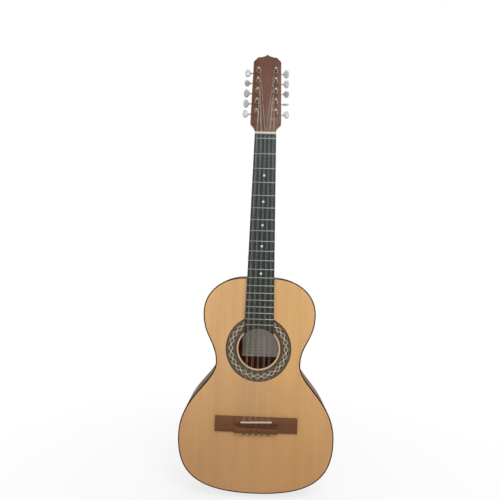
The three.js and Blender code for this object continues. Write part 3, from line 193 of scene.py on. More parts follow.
# Preamp, jack and wiring
SLIDER_NAMES = ("volume_slider", "bass_slider", "middle_slider", "treble_slider")
SLIDER_PITCH, FLANGE_LIP = 9.5 * MM, 4.5 * MM
TICKS, TICK_PITCH, TICK_ASIDE = 5, 3.5 * MM, 3.7 * MM
TICK_HALF_WIDTH, TICK_HALF_LENGTH, TICK_SINK, TICK_PROUD = 0.17 * MM, 0.7 * MM, 0.05 * MM, 0.06 * MM
FLANGE_SCREW_RADIUS, FLANGE_SCREW_HEIGHT, FLANGE_SCREW_INSET = 1.3 * MM, 0.55 * MM, 2.4 * MM
RIB_OPENING_IN, RIB_OPENING_OUT = 30 * MM, 6 * MM
JACK_SEAT_RADIUS, JACK_SEAT_REACH = 6.6 * MM, 20 * MM
JACK_PROFILE = in_mm(
    (-11, 4.2), (-11, 9.3), (-10.7, 9.8), (-10.2, 10), (-8.6, 10), (-8.2, 9.7), (-8, 9.2),
    (-7.6, 7.8), (-7, 7.4), (-3, 7.4), (-2.4, 7.8), (-2, 9.2), (-1.8, 9.7), (-1.4, 10),
    (-0.35, 10), (-0.3, 9.8), (-0.3, 6.2), (18.5, 6.2), (18.5, 8.7), (18.8, 9), (21.2, 9),
    (21.5, 8.7), (21.5, 6.2), (39.7, 6.2), (40, 5.9), (40, 3.4), (-10.4, 3.4))
PLUG_DEPTH, PLUG_THICKNESS, PLUG_HALF_LENGTH, PLUG_HALF_WIDTH = 24.2 * MM, 7 * MM, 7 * MM, 4.5 * MM
LEAD_RADIUS, LEAD_SIDES, LEAD_HOLE_RADIUS = 1.1 * MM, 12, 1.9 * MM
LEAD_ASIDE, LEAD_START, LEAD_BEND, LEAD_RISE = 3.5 * MM, 3.5 * MM, 15 * MM, 3.3 * MM
JACK_LEAD_END, ROUTE_STEPS = 33 * MM, 7
BATTERY_LEFT, BATTERY_RIGHT = -114 * MM, -62 * MM
# Places along each lead, as shares of the lower half width, the tail depth and the body length
PICKUP_LEAD_SHARES = (
    (-0.184, -0.37, 0.335), (-0.215, -0.293, 0.35), (-0.297, -0.293, 0.449), (-0.41, -0.283, 0.585),
    (-0.422, -0.196, 0.658))
OUTPUT_LEAD_SHARES = (
    (-0.414, 0.152, 0.595), (-0.452, 0.174, 0.5), (-0.527, 0.196, 0.318), (-0.439, 0.174, 0.182),
    (-0.188, 0.087, 0.127), (-0.025, 0, 0.123))

# Sides and steps of the round forms
BAR_TIP_STEPS, BAR_CREST_STEPS, FAN_STEPS, BINDING_CORNER_STEPS = 6, 8, 12, 4
LABEL_ARCH_STEPS, HEAD_BEND_STEPS, BOARD_END_STEPS, FRET_CROWN_STEPS = 24, 10, 32, 10
DOT_SIDES, POST_BORE_SIDES, STRING_HOLE_SIDES, WORM_SIDES = 28, 28, 16, 28
GEAR_SCREW_SIDES, SCREW_SIDES, BUSHING_SIDES, BALL_SIDES = 28, 20, 40, 20
PLATE_CORNER_STEPS, LUG_ARCH_STEPS, LUG_BORE_SIDES = 6, 16, 24
STRING_BEND_STEPS, JACK_SEAT_SIDES, JACK_SIDES = 5, 40, 64

# Finishes, camera and studio
HALF_TONE_SHARE, SEAM_TONE_SHARE, SEAM_HALF_WIDTH = 0.16, 0.35, 0.15 * MM
CAMERA_PLACE, CAMERA_ANGLES = (-8, -934.6, 467.2), (-1.0435, 1.9113, 1.9163)
SENSOR_WIDTH, FOCAL_SHARE, CAMERA_CLIP = 36, 427.89 / 500, (0.01, 50)
AMBIENT, FLOOR_COLOUR = 0.4, (0.86, 0.86, 0.86, 1)
FLOOR_REACH, FLOOR_GAP = 6.0, 0.5 * MM
FLOOR_SHADOW_NEAR, FLOOR_SHADOW_FAR, FLOOR_GLOW_NEAR = 0.12, 0.8, 0.78
LAMP_TARGET = (0, 0, 0.4)
LAMPS = (("key_light", (0.5, -1.4, 1.8), 1.2, 26.5), ("fill_light", (-0.8, -2.1, 0.9), 1.6, 7),
         ("back_light", (0.4, 2.2, 1.6), 1.4, 22))

# Places worked out from the sizes
FRONT = -TAIL_DEPTH / 2
BOARD_FACE = FRONT - BOARD_THICKNESS
TOP_INSIDE = FRONT + TOP_THICKNESS
LINING_INSIDE = RIB_THICKNESS + SEAT_GAP + LINING_WIDTH
ZERO_FRET = BODY_LENGTH + SCALE_LENGTH * (1 - 2 ** (-BODY_JOIN_FRET / 12))
ZERO_FRET_TOP = BOARD_FACE - FRET_HEIGHT
SADDLE_PLACE = ZERO_FRET - SCALE_LENGTH - SADDLE_SETBACK
BOARD_TOP = ZERO_FRET + NUT_LEAD
HEAD_BREAK = BOARD_TOP + NUT_THICKNESS
PLATE_BACK = HEAD_THICKNESS + SEAT_GAP + PLATE_THICKNESS
SHAFT_DEPTH = PLATE_BACK + WORM_PLATE_GAP + WORM_TIP_RADIUS
WORM_RISE = GEAR_PITCH_RADIUS + WORM_PITCH_RADIUS
WORM_LEAD = TURN * GEAR_PITCH_RADIUS / GEAR_TEETH
WORM_HALF_LENGTH = (WORM_LEAD * WORM_TURNS + WORM_ROOT_WIDTH) / 2
BUTTON_FOOT = POST_EDGE_MARGIN + BUTTON_STAND
head_frame = Matrix.Translation((0, FRONT, HEAD_BREAK)) @ Matrix.Rotation(-HEAD_TILT, 4, "X")


def back_plane(z):
    return TAIL_DEPTH / 2 - (TAIL_DEPTH - NECK_DEPTH) * z / BODY_LENGTH


def back_inside(z):
    return back_plane(z) - BACK_THICKNESS


def fret_place(fret):
    return ZERO_FRET - SCALE_LENGTH * (1 - 2 ** (-fret / 12))


def neck_half_width(z):
    share = (BOARD_TOP - z) / (BOARD_TOP - BODY_LENGTH)
    return NUT_HALF_WIDTH + (JOIN_HALF_WIDTH - NUT_HALF_WIDTH) * share


# Flat outlines, as points (across, up)
def even_steps(last, count, first=0.0):
    """Values at even steps from first to last, both with them."""
    return [first + (last - first) * i / count for i in range(count + 1)]


def oval_points(reach, span, angles, centre=(0, 0)):
    return [Vector((centre[0] + reach * math.cos(a), centre[1] + span * math.sin(a)))
            for a in angles]


def circle_points(radius, sides, centre=(0, 0)):
    return oval_points(radius, radius, even_steps(TURN, sides)[:-1], centre)


def swung(a, b, c, d):
    """Points after a on a curve to d that leaves towards b and comes in from c."""
    steps = [(t, 1 - t) for t in even_steps(1, OUTLINE_STEPS)[1:]]
    return [a * s ** 3 + b * (3 * s * s * t) + c * (3 * s * t * t) + d * t ** 3 for t, s in steps]


def bent(a, b, c, count):
    """Points on a bend from a to c that leans towards b."""
    return [a * (1 - t) ** 2 + b * (2 * t * (1 - t)) + c * t * t for t in even_steps(1, count)]


def mirrored(points):
    return [Vector((-p.x, p.y)) for p in reversed(points)]


def offset(loop, distance):
    """The loop moved inwards by a distance, with mitred corners."""
    moved = []
    for i, point in enumerate(loop):
        before = (point - loop[i - 1]).normalized()
        after = (loop[(i + 1) % len(loop)] - point).normalized()
        along = (before + after).normalized()
        reach = distance / max(along.dot(after), 0.5)
        moved.append(Vector((point.x - along.y * reach, point.y + along.x * reach)))
    return moved


def treble_edge_points():
    """Half of the body's outline, from the tail round to the seat of the neck."""
    to_waist, to_upper = WAIST_HEIGHT - LOWER_BOUT_HEIGHT, UPPER_BOUT_HEIGHT - WAIST_HEIGHT
    shoulder = BODY_LENGTH - UPPER_BOUT_HEIGHT
    inwards = Vector((SHOULDER_REACH * (UPPER_HALF_WIDTH - NECK_SEAT_HALF_WIDTH), 0))
    tail, low = Vector((0, 0)), Vector((LOWER_HALF_WIDTH, LOWER_BOUT_HEIGHT))
    waist = Vector((WAIST_HALF_WIDTH, WAIST_HEIGHT))
    high = Vector((UPPER_HALF_WIDTH, UPPER_BOUT_HEIGHT))
    seat = Vector((NECK_SEAT_HALF_WIDTH, BODY_LENGTH))
    up = lambda rise: Vector((0, rise))
    under_low = Vector((low.x, low.y * (1 - LOWER_FALL)))
    points = [tail] + swung(tail, Vector((TAIL_REACH * low.x, 0)), under_low, low)
    points += swung(low, low + up(LOWER_RISE * to_waist), waist - up(WAIST_FALL * to_waist), waist)
    points += swung(waist, waist + up(WAIST_RISE * to_upper), high - up(UPPER_FALL * to_upper),
                    high)
    points += swung(high, high + up(SHOULDER_RISE * shoulder), seat + inwards, seat)
    return points + [Vector((0, BODY_LENGTH))]


treble_edge = treble_edge_points()
whole_edge = treble_edge + mirrored(treble_edge)[1:-1]


def half_width_at(z, distance):
    edge = offset(whole_edge, distance)[:len(treble_edge)]
    after = next(i for i, point in enumerate(edge) if point.y >= z)
    low, high = edge[after - 1], edge[after]
    return low.x + (high.x - low.x) * (z - low.y) / (high.y - low.y)


# Shells: a list of points and a list of faces
def skin(sections, closed=False):
    """A skin over sections of equal counts; closed makes a ring, else both ends get caps."""
    count, rows = len(sections[0]), len(sections)
    points = [Vector(p) for section in sections for p in section]
    faces = []
    for row in range(rows if closed else rows - 1):
        here, there = row * count, (row + 1) % rows * count
        for i in range(count):
            k = (i + 1) % count
            faces.append((here + i, here + k, there + k, there + i))
    if not closed:
        faces += [tuple(range(count)), tuple(range((rows - 1) * count, rows * count))]
    return points, faces


def slab(loops, front, back, rim=0.0, rim_steps=3):
    """A plate between two depths, which may vary with height; rim rounds the outer edges."""
    depth = [face if callable(face) else (lambda z, face=face: face) for face in (front, back)]
    sign = 1 if depth[1](0) > depth[0](0) else -1
    angles = even_steps(QUARTER, rim_steps) if rim else [QUARTER]
    levels = [(rim * (1 - math.sin(a)), 0, sign * rim * (1 - math.cos(a))) for a in angles]
    levels += [(inset, 1, -lift) for inset, _, lift in reversed(levels)]
    points, faces, rings = [], [], []
    for number, loop in enumerate(loops):
        start, size = len(points), len(loop)
        for inset, face, lift in levels:
            moved = offset(loop, inset) if number == 0 and inset else loop
            points += [Vector((p.x, depth[face](p.y) + lift, p.y)) for p in moved]
        rings.append((start, size))
        for row in range(start, start + (len(levels) - 1) * size, size):
            for i in range(size):
                k = (i + 1) % size
                faces.append((row + i, row + k, row + k + size, row + i + size))
    for shift in (0, len(levels) - 1):
        order = [[start + shift * size + i for i in range(size)] for start, size in rings]
        flat = [[Vector((points[i].x, points[i].z, 0)) for i in ring] for ring in order]
        joined = sum(order, [])
        faces += [tuple(joined[i] for i in triangle) for triangle in tessellate_polygon(flat)]
    return points, faces


def box_shell(left, right, front, back, low, high):
    corners = ((left, low), (right, low), (right, high), (left, high))
    return slab([[Vector(corner) for corner in corners]], front, back)


def turned(stations, sides=32, closed=False):
    """A turned shape on the Y axis, from (depth, radius) stations; closed makes a ring."""
    return skin([[Vector((p.x, depth, p.y)) for p in circle_points(radius, sides)]
                 for depth, radius in stations], closed)


def round_bar(reach, radius, sides):
    return turned([(-reach, radius), (reach, radius)], sides)


def moved_shell(shell, matrix):
    return [matrix @ point for point in shell[0]], shell[1]


def swept_edge(profile, whole=True):
    """A strip along the body's edge, from a profile of (inset, depth at a height)."""
    loops = [offset(whole_edge, inset) for inset, _ in profile]
    count = len(whole_edge) if whole else len(treble_edge)
    sections = [[Vector((loop[i].x, depth(loop[i].y), loop[i].y))
                 for loop, (_, depth) in zip(loops, profile)] for i in range(count)]
    return skin(sections, closed=whole)


# Pieces
def linked(name, data):
    made = bpy.data.objects.new(name, data)
    bpy.context.scene.collection.objects.link(made)
    return made


def object_of(name, *shells):
    points, faces = [], []
    for shell_points, shell_faces in shells:
        faces += [tuple(len(points) + i for i in face) for face in shell_faces]
        points += shell_points
    mesh = bpy.data.meshes.new(name)
    mesh.from_pydata(points, [], faces)
    tidy(mesh)
    return linked(name, mesh)


def tidy(mesh):
    """Merges points that lie together and turns every face outwards."""
    work = bmesh.new()
    work.from_mesh(mesh)
    bmesh.ops.remove_doubles(work, verts=work.verts, dist=SEAM / 10)
    bmesh.ops.recalc_face_normals(work, faces=work.faces)
    work.to_mesh(mesh)
    work.free()


def settle(made):
    """Turns the modifiers' result into a plain mesh."""
    graph = bpy.context.evaluated_depsgraph_get()
    mesh = bpy.data.meshes.new_from_object(made.evaluated_get(graph))
    made.modifiers.clear()
    made.data = mesh
    return made


def joined_with(made, operation, *tools):
    """Adds the tools to a piece or cuts them from it, and uses them up."""
    for tool in tools:
        modifier = made.modifiers.new("join", "BOOLEAN")
        modifier.operation, modifier.object, modifier.solver = operation, tool, "EXACT"
    settle(made)
    for tool in tools:
        bpy.data.objects.remove(tool)
    return made


def softened(made, width, segments=2):
    """Rounds the edges that are sharper than 30 degrees."""
    modifier = made.modifiers.new("bevel", "BEVEL")
    modifier.width, modifier.segments = width, segments
    modifier.limit_method, modifier.angle_limit = "ANGLE", math.radians(30)
    return settle(made)


def finished(made, surface, slot, body="instrument", replaces=(), sharp=32):
    mesh = made.data
    mesh.materials.clear()
    mesh.materials.append(surface)
    mesh.shade_smooth()
    mesh.set_sharp_from_angle(angle=math.radians(sharp))
    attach(made, body)
    if replaces:
        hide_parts(*replaces)
    return made


def piece(name, shells, surface, slot, body="instrument", replaces=(), sharp=32, bevel=0.0):
    made = object_of(name, *shells)
    if bevel:
        softened(made, bevel)
    return finished(made, surface, slot, body, replaces, sharp)


def refined(node, name, surface, slot, bevel, body="instrument", turn=Matrix(), cuts=(),
            segments=2):
    """A merged copy of a CAD node with softened edges; turned, filled or cut first where asked."""
    work = bmesh.new()
    work.from_mesh(frame["nodes"][node].data)
    work.transform(turn)
    bmesh.ops.remove_doubles(work, verts=work.verts, dist=SEAM)
    bmesh.ops.dissolve_limit(work, angle_limit=math.radians(1), verts=work.verts, edges=work.edges)
    mesh = bpy.data.meshes.new(name)
    work.to_mesh(mesh)
    work.free()
    made = linked(name, mesh)
    for operation, shell in cuts:
        joined_with(made, operation, object_of("tool", shell))
    softened(made, bevel, segments)
    return finished(made, surface, slot, body, (node,))


# Node trees
GEOMETRY, NUMBER, COUNT = "NodeSocketGeometry", "NodeSocketFloat", "NodeSocketInt"
VECTOR, OBJECT = "NodeSocketVector", "NodeSocketObject"
MATERIAL, COLOUR = "NodeSocketMaterial", "NodeSocketColor"
COPIES = (("Geometry", GEOMETRY, None), ("Copy", OBJECT, None), ("Material", MATERIAL, None))
SHAPE = (("Geometry", GEOMETRY),)


class Number:
    """A number that a node gives; the plain signs make the Math nodes that work with it."""

    def __init__(self, socket):
        self.socket = socket

    def __add__(self, other):
        return worked("ADD", self, other)

    def __sub__(self, other):
        return worked("SUBTRACT", self, other)

    def __rsub__(self, other):
        return worked("SUBTRACT", other, self)

    def __mul__(self, other):
        return worked("MULTIPLY", self, other)

    def __truediv__(self, other):
        return worked("DIVIDE", self, other)

    def __pow__(self, other):
        return worked("POWER", self, other)

    def __rpow__(self, other):
        return worked("POWER", other, self)


def feed(node, inputs):
    """Links sockets and numbers to a node's inputs, or sets plain values on them."""
    for key, value in inputs.items():
        value = value.socket if isinstance(value, Number) else value
        if isinstance(value, bpy.types.NodeSocket):
            node.id_data.links.new(value, node.inputs[key])
        else:
            node.inputs[key].default_value = value
    return node


def add(tree, kind, inputs=None, **settings):
    made = tree.nodes.new(kind)
    for key, value in settings.items():
        setattr(made, key, value)
    return feed(made, inputs or {})


def number(node, label=0):
    return Number(node.outputs[label])


def worked(operation, *values, clamp=False):
    tree = next(value.socket.id_data for value in values if isinstance(value, Number))
    return number(add(tree, "ShaderNodeMath", dict(enumerate(values)), operation=operation,
                      use_clamp=clamp))


def combined(tree, x, y, z):
    return add(tree, "ShaderNodeCombineXYZ", {"X": x, "Y": y, "Z": z}).outputs[0]


def parts_of(vector):
    node = add(vector.id_data, "ShaderNodeSeparateXYZ", {"Vector": vector})
    return [number(node, axis) for axis in "XYZ"]


def new_group(name, kind, inputs, outputs):
    """A node group with named sockets; returns it, its inputs by name and its output node."""
    group = bpy.data.node_groups.new(name, kind)
    for label, socket, value in inputs:
        made = group.interface.new_socket(name=label, in_out="INPUT", socket_type=socket)
        if value is not None:
            made.default_value = value
    for label, socket in outputs:
        group.interface.new_socket(name=label, in_out="OUTPUT", socket_type=socket)
    sockets = group.nodes.new("NodeGroupInput").outputs
    given = {label: Number(sockets[label]) if kind_of in (NUMBER, COUNT) else sockets[label]
             for label, kind_of, _ in inputs}
    return group, given, group.nodes.new("NodeGroupOutput")


def points_at(count, place):
    """As many points as the count, each at the place that is worked out from its number."""
    group = place.id_data
    line = add(group, "GeometryNodeMeshLine", {"Count": count, "Offset": (0, 0, 0)})
    return add(group, "GeometryNodeSetPosition", {"Geometry": line.outputs[0], "Position": place})


def named_attribute(group, label, kind):
    return add(group, "GeometryNodeInputNamedAttribute", {"Name": label}, data_type=kind).outputs[0]


def rotation_of(angles):
    return add(angles.id_data, "FunctionNodeEulerToRotation", {"Euler": angles}).outputs[0]


def realized(shape, given):
    """Plain mesh of what a node makes, with the given material."""
    real = add(shape.id_data, "GeometryNodeRealizeInstances", {"Geometry": shape.outputs[0]})
    return add(shape.id_data, "GeometryNodeSetMaterial",
               {"Geometry": real.outputs[0], "Material": given["Material"]}).outputs[0]


def copies_on(points, given, **lay):
    """Realized copies of the given object on points."""
    copy = add(points.id_data, "GeometryNodeObjectInfo",
               {"Object": given["Copy"], "As Instance": True})
    placed = {"Points": points.outputs[0], "Instance": copy.outputs["Geometry"], **lay}
    return realized(add(points.id_data, "GeometryNodeInstanceOnPoints", placed), given)


def fret_row_tree():
    """Copies of a fret wire at equal-tempered places, each as long as the board is wide."""
    group, given, result = new_group("fret_row", "GeometryNodeTree", (
        *COPIES, ("Count", COUNT, 20), ("Scale Length", NUMBER, 0.58), ("Zero Fret", NUMBER, 0.73),
        ("Depth", NUMBER, 0.0), ("Half Width", NUMBER, 0.02), ("Widening", NUMBER, 0.01)), SHAPE)
    fret = number(add(group, "GeometryNodeInputIndex"))
    fall = given["Scale Length"] * (1.0 - 2.0 ** (fret / -12.0))
    place = combined(group, 0.0, given["Depth"], given["Zero Fret"] - fall)
    scale = combined(group, given["Half Width"] + given["Widening"] * fall, 1.0, 1.0)
    feed(result, {"Geometry": copies_on(points_at(given["Count"], place), given, Scale=scale)})
    return group


def ring_tree():
    """Copies of a link around a circle in the plane of the soundboard."""
    group, given, result = new_group("ring_of_links", "GeometryNodeTree", (
        *COPIES, ("Count", COUNT, 40), ("Radius", NUMBER, 0.05), ("Centre", VECTOR, (0, 0, 0)),
        ("Start", NUMBER, 0.0)), SHAPE)
    angle = (number(add(group, "GeometryNodeInputIndex")) + given["Start"]) * TURN / given["Count"]
    across, up = given["Radius"] * worked("COSINE", angle), given["Radius"] * worked("SINE", angle)
    place = add(group, "ShaderNodeVectorMath", {
        0: combined(group, across, 0.0, up), 1: given["Centre"]}, operation="ADD")
    points = points_at(given["Count"], place.outputs[0])
    rotation = rotation_of(combined(group, 0.0, angle * -1.0, 0.0))
    feed(result, {"Geometry": copies_on(points, given, Rotation=rotation)})
    return group


def scatter_tree():
    """Copies on the given points, each turned by the point's own attribute."""
    group, given, result = new_group("copies_on_points", "GeometryNodeTree", COPIES, SHAPE)
    turn = named_attribute(group, "turn", "FLOAT_VECTOR")
    points = add(group, "GeometryNodeMeshToPoints", {"Mesh": given["Geometry"]})
    feed(result, {"Geometry": copies_on(points, given, Rotation=rotation_of(turn))})
    return group


def path_blocks_tree():
    """Copies at equal steps along a closed path, each lined up with it."""
    group, given, result = new_group("blocks_along_edge", "GeometryNodeTree", (
        *COPIES, ("Pitch", NUMBER, 0.006)), SHAPE)
    curve = add(group, "GeometryNodeMeshToCurve", {"Mesh": given["Geometry"]})
    points = add(group, "GeometryNodeCurveToPoints", {
        "Curve": curve.outputs[0], "Length": given["Pitch"]}, mode="LENGTH")
    rotation = add(group, "FunctionNodeAlignRotationToVector", {
        "Vector": points.outputs["Tangent"]}, axis="Z", pivot_axis="Y")
    feed(result, {"Geometry": copies_on(points, given, Rotation=rotation.outputs[0])})
    return group


def wire_tree():
    """A round wire along a path; each point has its thickness and its place as attributes."""
    group, given, result = new_group("wire_along_path", "GeometryNodeTree", (
        ("Geometry", GEOMETRY, None), ("Material", MATERIAL, None), ("Sides", COUNT, 10)), SHAPE)
    curve = add(group, "GeometryNodeMeshToCurve", {"Mesh": given["Geometry"]})
    thick = named_attribute(group, "thick", "FLOAT")
    length = number(add(group, "GeometryNodeSplineParameter"), "Length")
    marked = add(group, "GeometryNodeStoreNamedAttribute", {
        "Geometry": curve.outputs[0], "Name": "along", "Value": length},
        data_type="FLOAT", domain="POINT")
    wide = add(group, "GeometryNodeSetCurveRadius", {"Curve": marked.outputs[0], "Radius": thick})
    ring = add(group, "GeometryNodeCurvePrimitiveCircle",
               {"Resolution": given["Sides"], "Radius": 1.0})
    tube = add(group, "GeometryNodeCurveToMesh",
               {"Curve": wide.outputs[0], "Profile Curve": ring.outputs[0], "Fill Caps": True})
    if "Scale" in tube.inputs:
        feed(tube, {"Scale": thick})
    feed(result, {"Geometry": realized(tube, given)})
    return group


def grown(name, points, edges, tree, values, attributes=None):
    """An object whose mesh is what a geometry tree makes of the given points and edges."""
    mesh = bpy.data.meshes.new(name)
    mesh.from_pydata([Vector(p) for p in points], edges, [])
    for label, (kind, items) in (attributes or {}).items():
        made = mesh.attributes.new(label, kind, "POINT")
        flat = [c for item in items for c in item] if kind == "FLOAT_VECTOR" else items
        made.data.foreach_set("vector" if kind == "FLOAT_VECTOR" else "value", flat)
    carrier = linked(name, mesh)
    modifier = carrier.modifiers.new("tree", "NODES")
    modifier.node_group = tree
    for item in tree.interface.items_tree:
        if item.in_out == "INPUT" and item.name in values:
            modifier[item.identifier] = values[item.name]
    settle(carrier)
    tidy(carrier.data)
    return carrier


fret_row = fret_row_tree()
ring_of_links = ring_tree()
copies_on_points = scatter_tree()
blocks_along_edge = path_blocks_tree()
wire_along_path = wire_tree()


def repeated(name, copy, tree, surface, slot, values, points=(), edges=(), attributes=None,
             **finish):
    """A piece made of copies that a tree sets out; the copied object is used up."""
    inputs = {"Copy": copy, "Material": surface, **values}
    made = grown(name, points, edges, tree, inputs, attributes)
    bpy.data.objects.remove(copy)
    return finished(made, surface, slot, **finish)


def scattered(name, copy, places, turns, surface, slot):
    return repeated(name, copy, copies_on_points, surface, slot, {}, places,
                    attributes={"turn": ("FLOAT_VECTOR", turns)})


def set_out(name, copy, seats, surface, slot):
    """Copies at the places and turns of matrices."""
    places, turns = [seat.translation for seat in seats], [seat.to_euler() for seat in seats]
    return scattered(name, copy, places, turns, surface, slot)


def wire(name, points, radius, sides, surface, slot, node):
    """A round wire through the points, which stands for a node."""
    edges = [(i, i + 1) for i in range(len(points) - 1)]
    made = grown(name, points, edges, wire_along_path, {"Material": surface, "Sides": sides},
                 {"thick": ("FLOAT", [radius] * len(points))})
    return finished(made, surface, slot, replaces=(node,), sharp=60)


# Shader groups
def tint(red, green, blue):
    """A colour as it looks on screen, turned into linear light."""
    shares = [value / 255 for value in (red, green, blue)]
    return (*[s / 12.92 if s <= 0.04045 else ((s + 0.055) / 1.055) ** 2.4 for s in shares], 1.0)


def scaled(vector, amount):
    """A vector times a number, or times three plain amounts, one for each axis."""
    kind, key = ("SCALE", "Scale") if isinstance(amount, Number) else ("MULTIPLY", 1)
    inputs = {0: vector, key: amount}
    return add(vector.id_data, "ShaderNodeVectorMath", inputs, operation=kind).outputs[0]


def noise(vector, amount, detail=2.0, roughness=0.5, distortion=0.0):
    """Noise of as many waves in a metre as the amount, which is a number or three for the axes."""
    return number(add(vector.id_data, "ShaderNodeTexNoise", {
        "Vector": scaled(vector, amount), "Scale": 1.0, "Detail": detail, "Roughness": roughness,
        "Distortion": distortion}), "Fac")


def ranged(value, low, high, foot=0.0, top=1.0, kind="SMOOTHSTEP"):
    """From foot to top as the value goes from low to high."""
    inputs = {"Value": value, "From Min": low, "From Max": high, "To Min": foot, "To Max": top}
    tree = value.socket.id_data
    return number(add(tree, "ShaderNodeMapRange", inputs, interpolation_type=kind), "Result")


def blended(share, first, second):
    """The first colour where the share is 0, the second where it is 1."""
    inputs = {0: share, 6: first, 7: second}
    return add(share.socket.id_data, "ShaderNodeMix", inputs, data_type="RGBA").outputs[2]


def length_of(vector):
    node = add(vector.id_data, "ShaderNodeVectorMath", {0: vector}, operation="LENGTH")
    return number(node, "Value")


def long_grain_group():
    """Wood with its grain along Z: growth lines, fibres, pores and broad figure."""
    group, given, result = new_group("long_grain", "ShaderNodeTree", (
        ("Vector", VECTOR, None), ("Light", COLOUR, None), ("Dark", COLOUR, None),
        ("Pitch", NUMBER, 0.0015), ("Lines", NUMBER, 0.4), ("Fibres", NUMBER, 0.3),
        ("Figure", NUMBER, 0.4), ("Pores", NUMBER, 0.0), ("Wander", NUMBER, 0.002)),
        (("Color", COLOUR), ("Height", NUMBER)))
    place = given["Vector"]
    x, y = parts_of(place)[:2]
    sway = noise(place, (9, 9, 3.2)) + noise(place, (75, 75, 0.9)) * 1.6
    across = x + y * 0.55 + (sway - 1.3) * given["Wander"]
    line = worked("MULTIPLY_ADD", worked("SINE", across * TURN / given["Pitch"]), 0.5, 0.5) ** 3.0
    fibres = noise(place, (2400, 2400, 42), 3.0, 0.6)
    broad = ranged(noise(place, (34, 34, 3.0), 3.0, 0.55), 0.34, 0.68)
    pores = ranged(noise(place, (1900, 1900, 95), 1.0), 0.66, 0.74) * given["Pores"]
    share = line * given["Lines"] + (fibres - 0.5) * given["Fibres"] + broad * given["Figure"]
    share = worked("ADD", share, pores, clamp=True)
    feed(result, {"Color": blended(share, given["Light"], given["Dark"]),
                  "Height": line * -0.35 + pores * -1.0 + fibres * 0.3})
    return group


def handling_group():
    """Faint smudges and fine scratches on a gloss: a roughness between two values and a height."""
    group, given, result = new_group("handling", "ShaderNodeTree", (
        ("Vector", VECTOR, None), ("Low", NUMBER, 0.1), ("High", NUMBER, 0.3),
        ("Size", NUMBER, 30.0)), (("Roughness", NUMBER), ("Height", NUMBER)))
    broad = ranged(noise(given["Vector"], given["Size"], 4.0, 0.6), 0.35, 0.7)
    fine = noise(given["Vector"], (5200, 700, 500), 1.0)
    share = broad * 0.75 + fine * 0.25
    rough = given["Low"] + (given["High"] - given["Low"]) * share
    feed(result, {"Roughness": rough, "Height": fine})
    return group


def swirl_group():
    """Pearloid: folded clouds of two colours."""
    group, given, result = new_group("swirl", "ShaderNodeTree", (
        ("Vector", VECTOR, None), ("Light", COLOUR, None), ("Dark", COLOUR, None),
        ("Size", NUMBER, 160.0)), (("Color", COLOUR), ("Height", NUMBER)))
    fold = worked("PINGPONG", noise(given["Vector"], given["Size"], 4.0, distortion=2.2) * 3.2, 1.0)
    feed(result, {"Color": blended(fold, given["Light"], given["Dark"]), "Height": fold})
    return group


long_grain = long_grain_group()
handling = handling_group()
swirl = swirl_group()


# Materials
def new_material(name, **values):
    """A material with values on its shader; returns it, the shader and the Object coordinates."""
    made = bpy.data.materials.new(name)
    made.use_nodes = True
    shader = made.node_tree.nodes["Principled BSDF"]
    for key, value in values.items():
        shader.inputs[key.replace("_", " ")].default_value = value
    return made, shader, object_place(made.node_tree)


def object_place(tree):
    return add(tree, "ShaderNodeTexCoord").outputs["Object"]


def grouped(place, group, inputs):
    return add(place.id_data, "ShaderNodeGroup", {"Vector": place, **inputs}, node_tree=group)


def relief(shader, height, distance, strength=0.5):
    inputs = {"Height": height, "Distance": distance, "Strength": strength}
    feed(shader, {"Normal": add(shader.id_data, "ShaderNodeBump", inputs).outputs["Normal"]})


def smudged(shader, place, low, high, size=30.0):
    """Handling marks between two roughnesses; returns their height."""
    marks = grouped(place, handling, {"Low": low, "High": high, "Size": size})
    feed(shader, {"Roughness": marks.outputs["Roughness"]})
    return number(marks, "Height")


def wood(name, light, dark, pitch, lines, fibres, figure, gloss, pores=0.0, wander=2 * MM, coat=0.0,
         turn=(0, 0, 0), stretch=(1, 1, 1), depth=0.03 * MM, shine=0.3, matched=None):
    """Wood with its grain along Z after the turn; matched halves mirror each other in two tones."""
    made, shader, place = new_material(
        name, Coat_Weight=coat, Coat_Roughness=0.12, Specular_IOR_Level=shine)
    tree = made.node_tree
    laid = add(tree, "ShaderNodeMapping", {"Vector": place, "Rotation": turn, "Scale": stretch})
    along = laid.outputs[0]
    if matched:
        x, y, z = parts_of(along)
        aside = worked("ABSOLUTE", x)
        along = combined(tree, aside, y, z)
    grain = grouped(along, long_grain, {
        "Light": tint(*light), "Dark": tint(*dark), "Pitch": pitch, "Lines": lines,
        "Fibres": fibres, "Figure": figure, "Pores": pores, "Wander": wander})
    colour = grain.outputs["Color"]
    if matched:
        colour = blended(worked("GREATER_THAN", x, 0.0) * HALF_TONE_SHARE, colour, tint(*matched))
        seam = worked("LESS_THAN", aside, SEAM_HALF_WIDTH) * SEAM_TONE_SHARE
        colour = blended(seam, colour, tint(*dark))
    feed(shader, {"Base Color": colour})
    smudged(shader, place, gloss - 0.05, gloss + 0.14)
    relief(shader, grain.outputs["Height"], depth)
    return made


def painted_shade_below(material, colour, low, high, share):
    """Painted shade: deepens a wood's tone slowly from one height down to another, standing for
    light that falls off lower down.
    """
    shader = material.node_tree.nodes["Principled BSDF"]
    unshaded_tone = shader.inputs["Base Color"].links[0].from_socket
    place = object_place(material.node_tree)
    height = parts_of(place)[2] + noise(place, (7, 7, 5)) * 0.12
    shaded_tone = blended(ranged(height, high, low, top=share), unshaded_tone, tint(*colour))
    feed(shader, {"Base Color": shaded_tone})


def metal(name, colour, low, high):
    made, shader, place = new_material(name, Metallic=1.0)
    marks = smudged(shader, place, low, high, 220.0)
    dull = [share * 0.78 for share in tint(*colour)[:3]] + [1.0]
    feed(shader, {"Base Color": blended(marks, tint(*colour), dull)})
    relief(shader, marks, 0.01 * MM, 0.3)
    return made


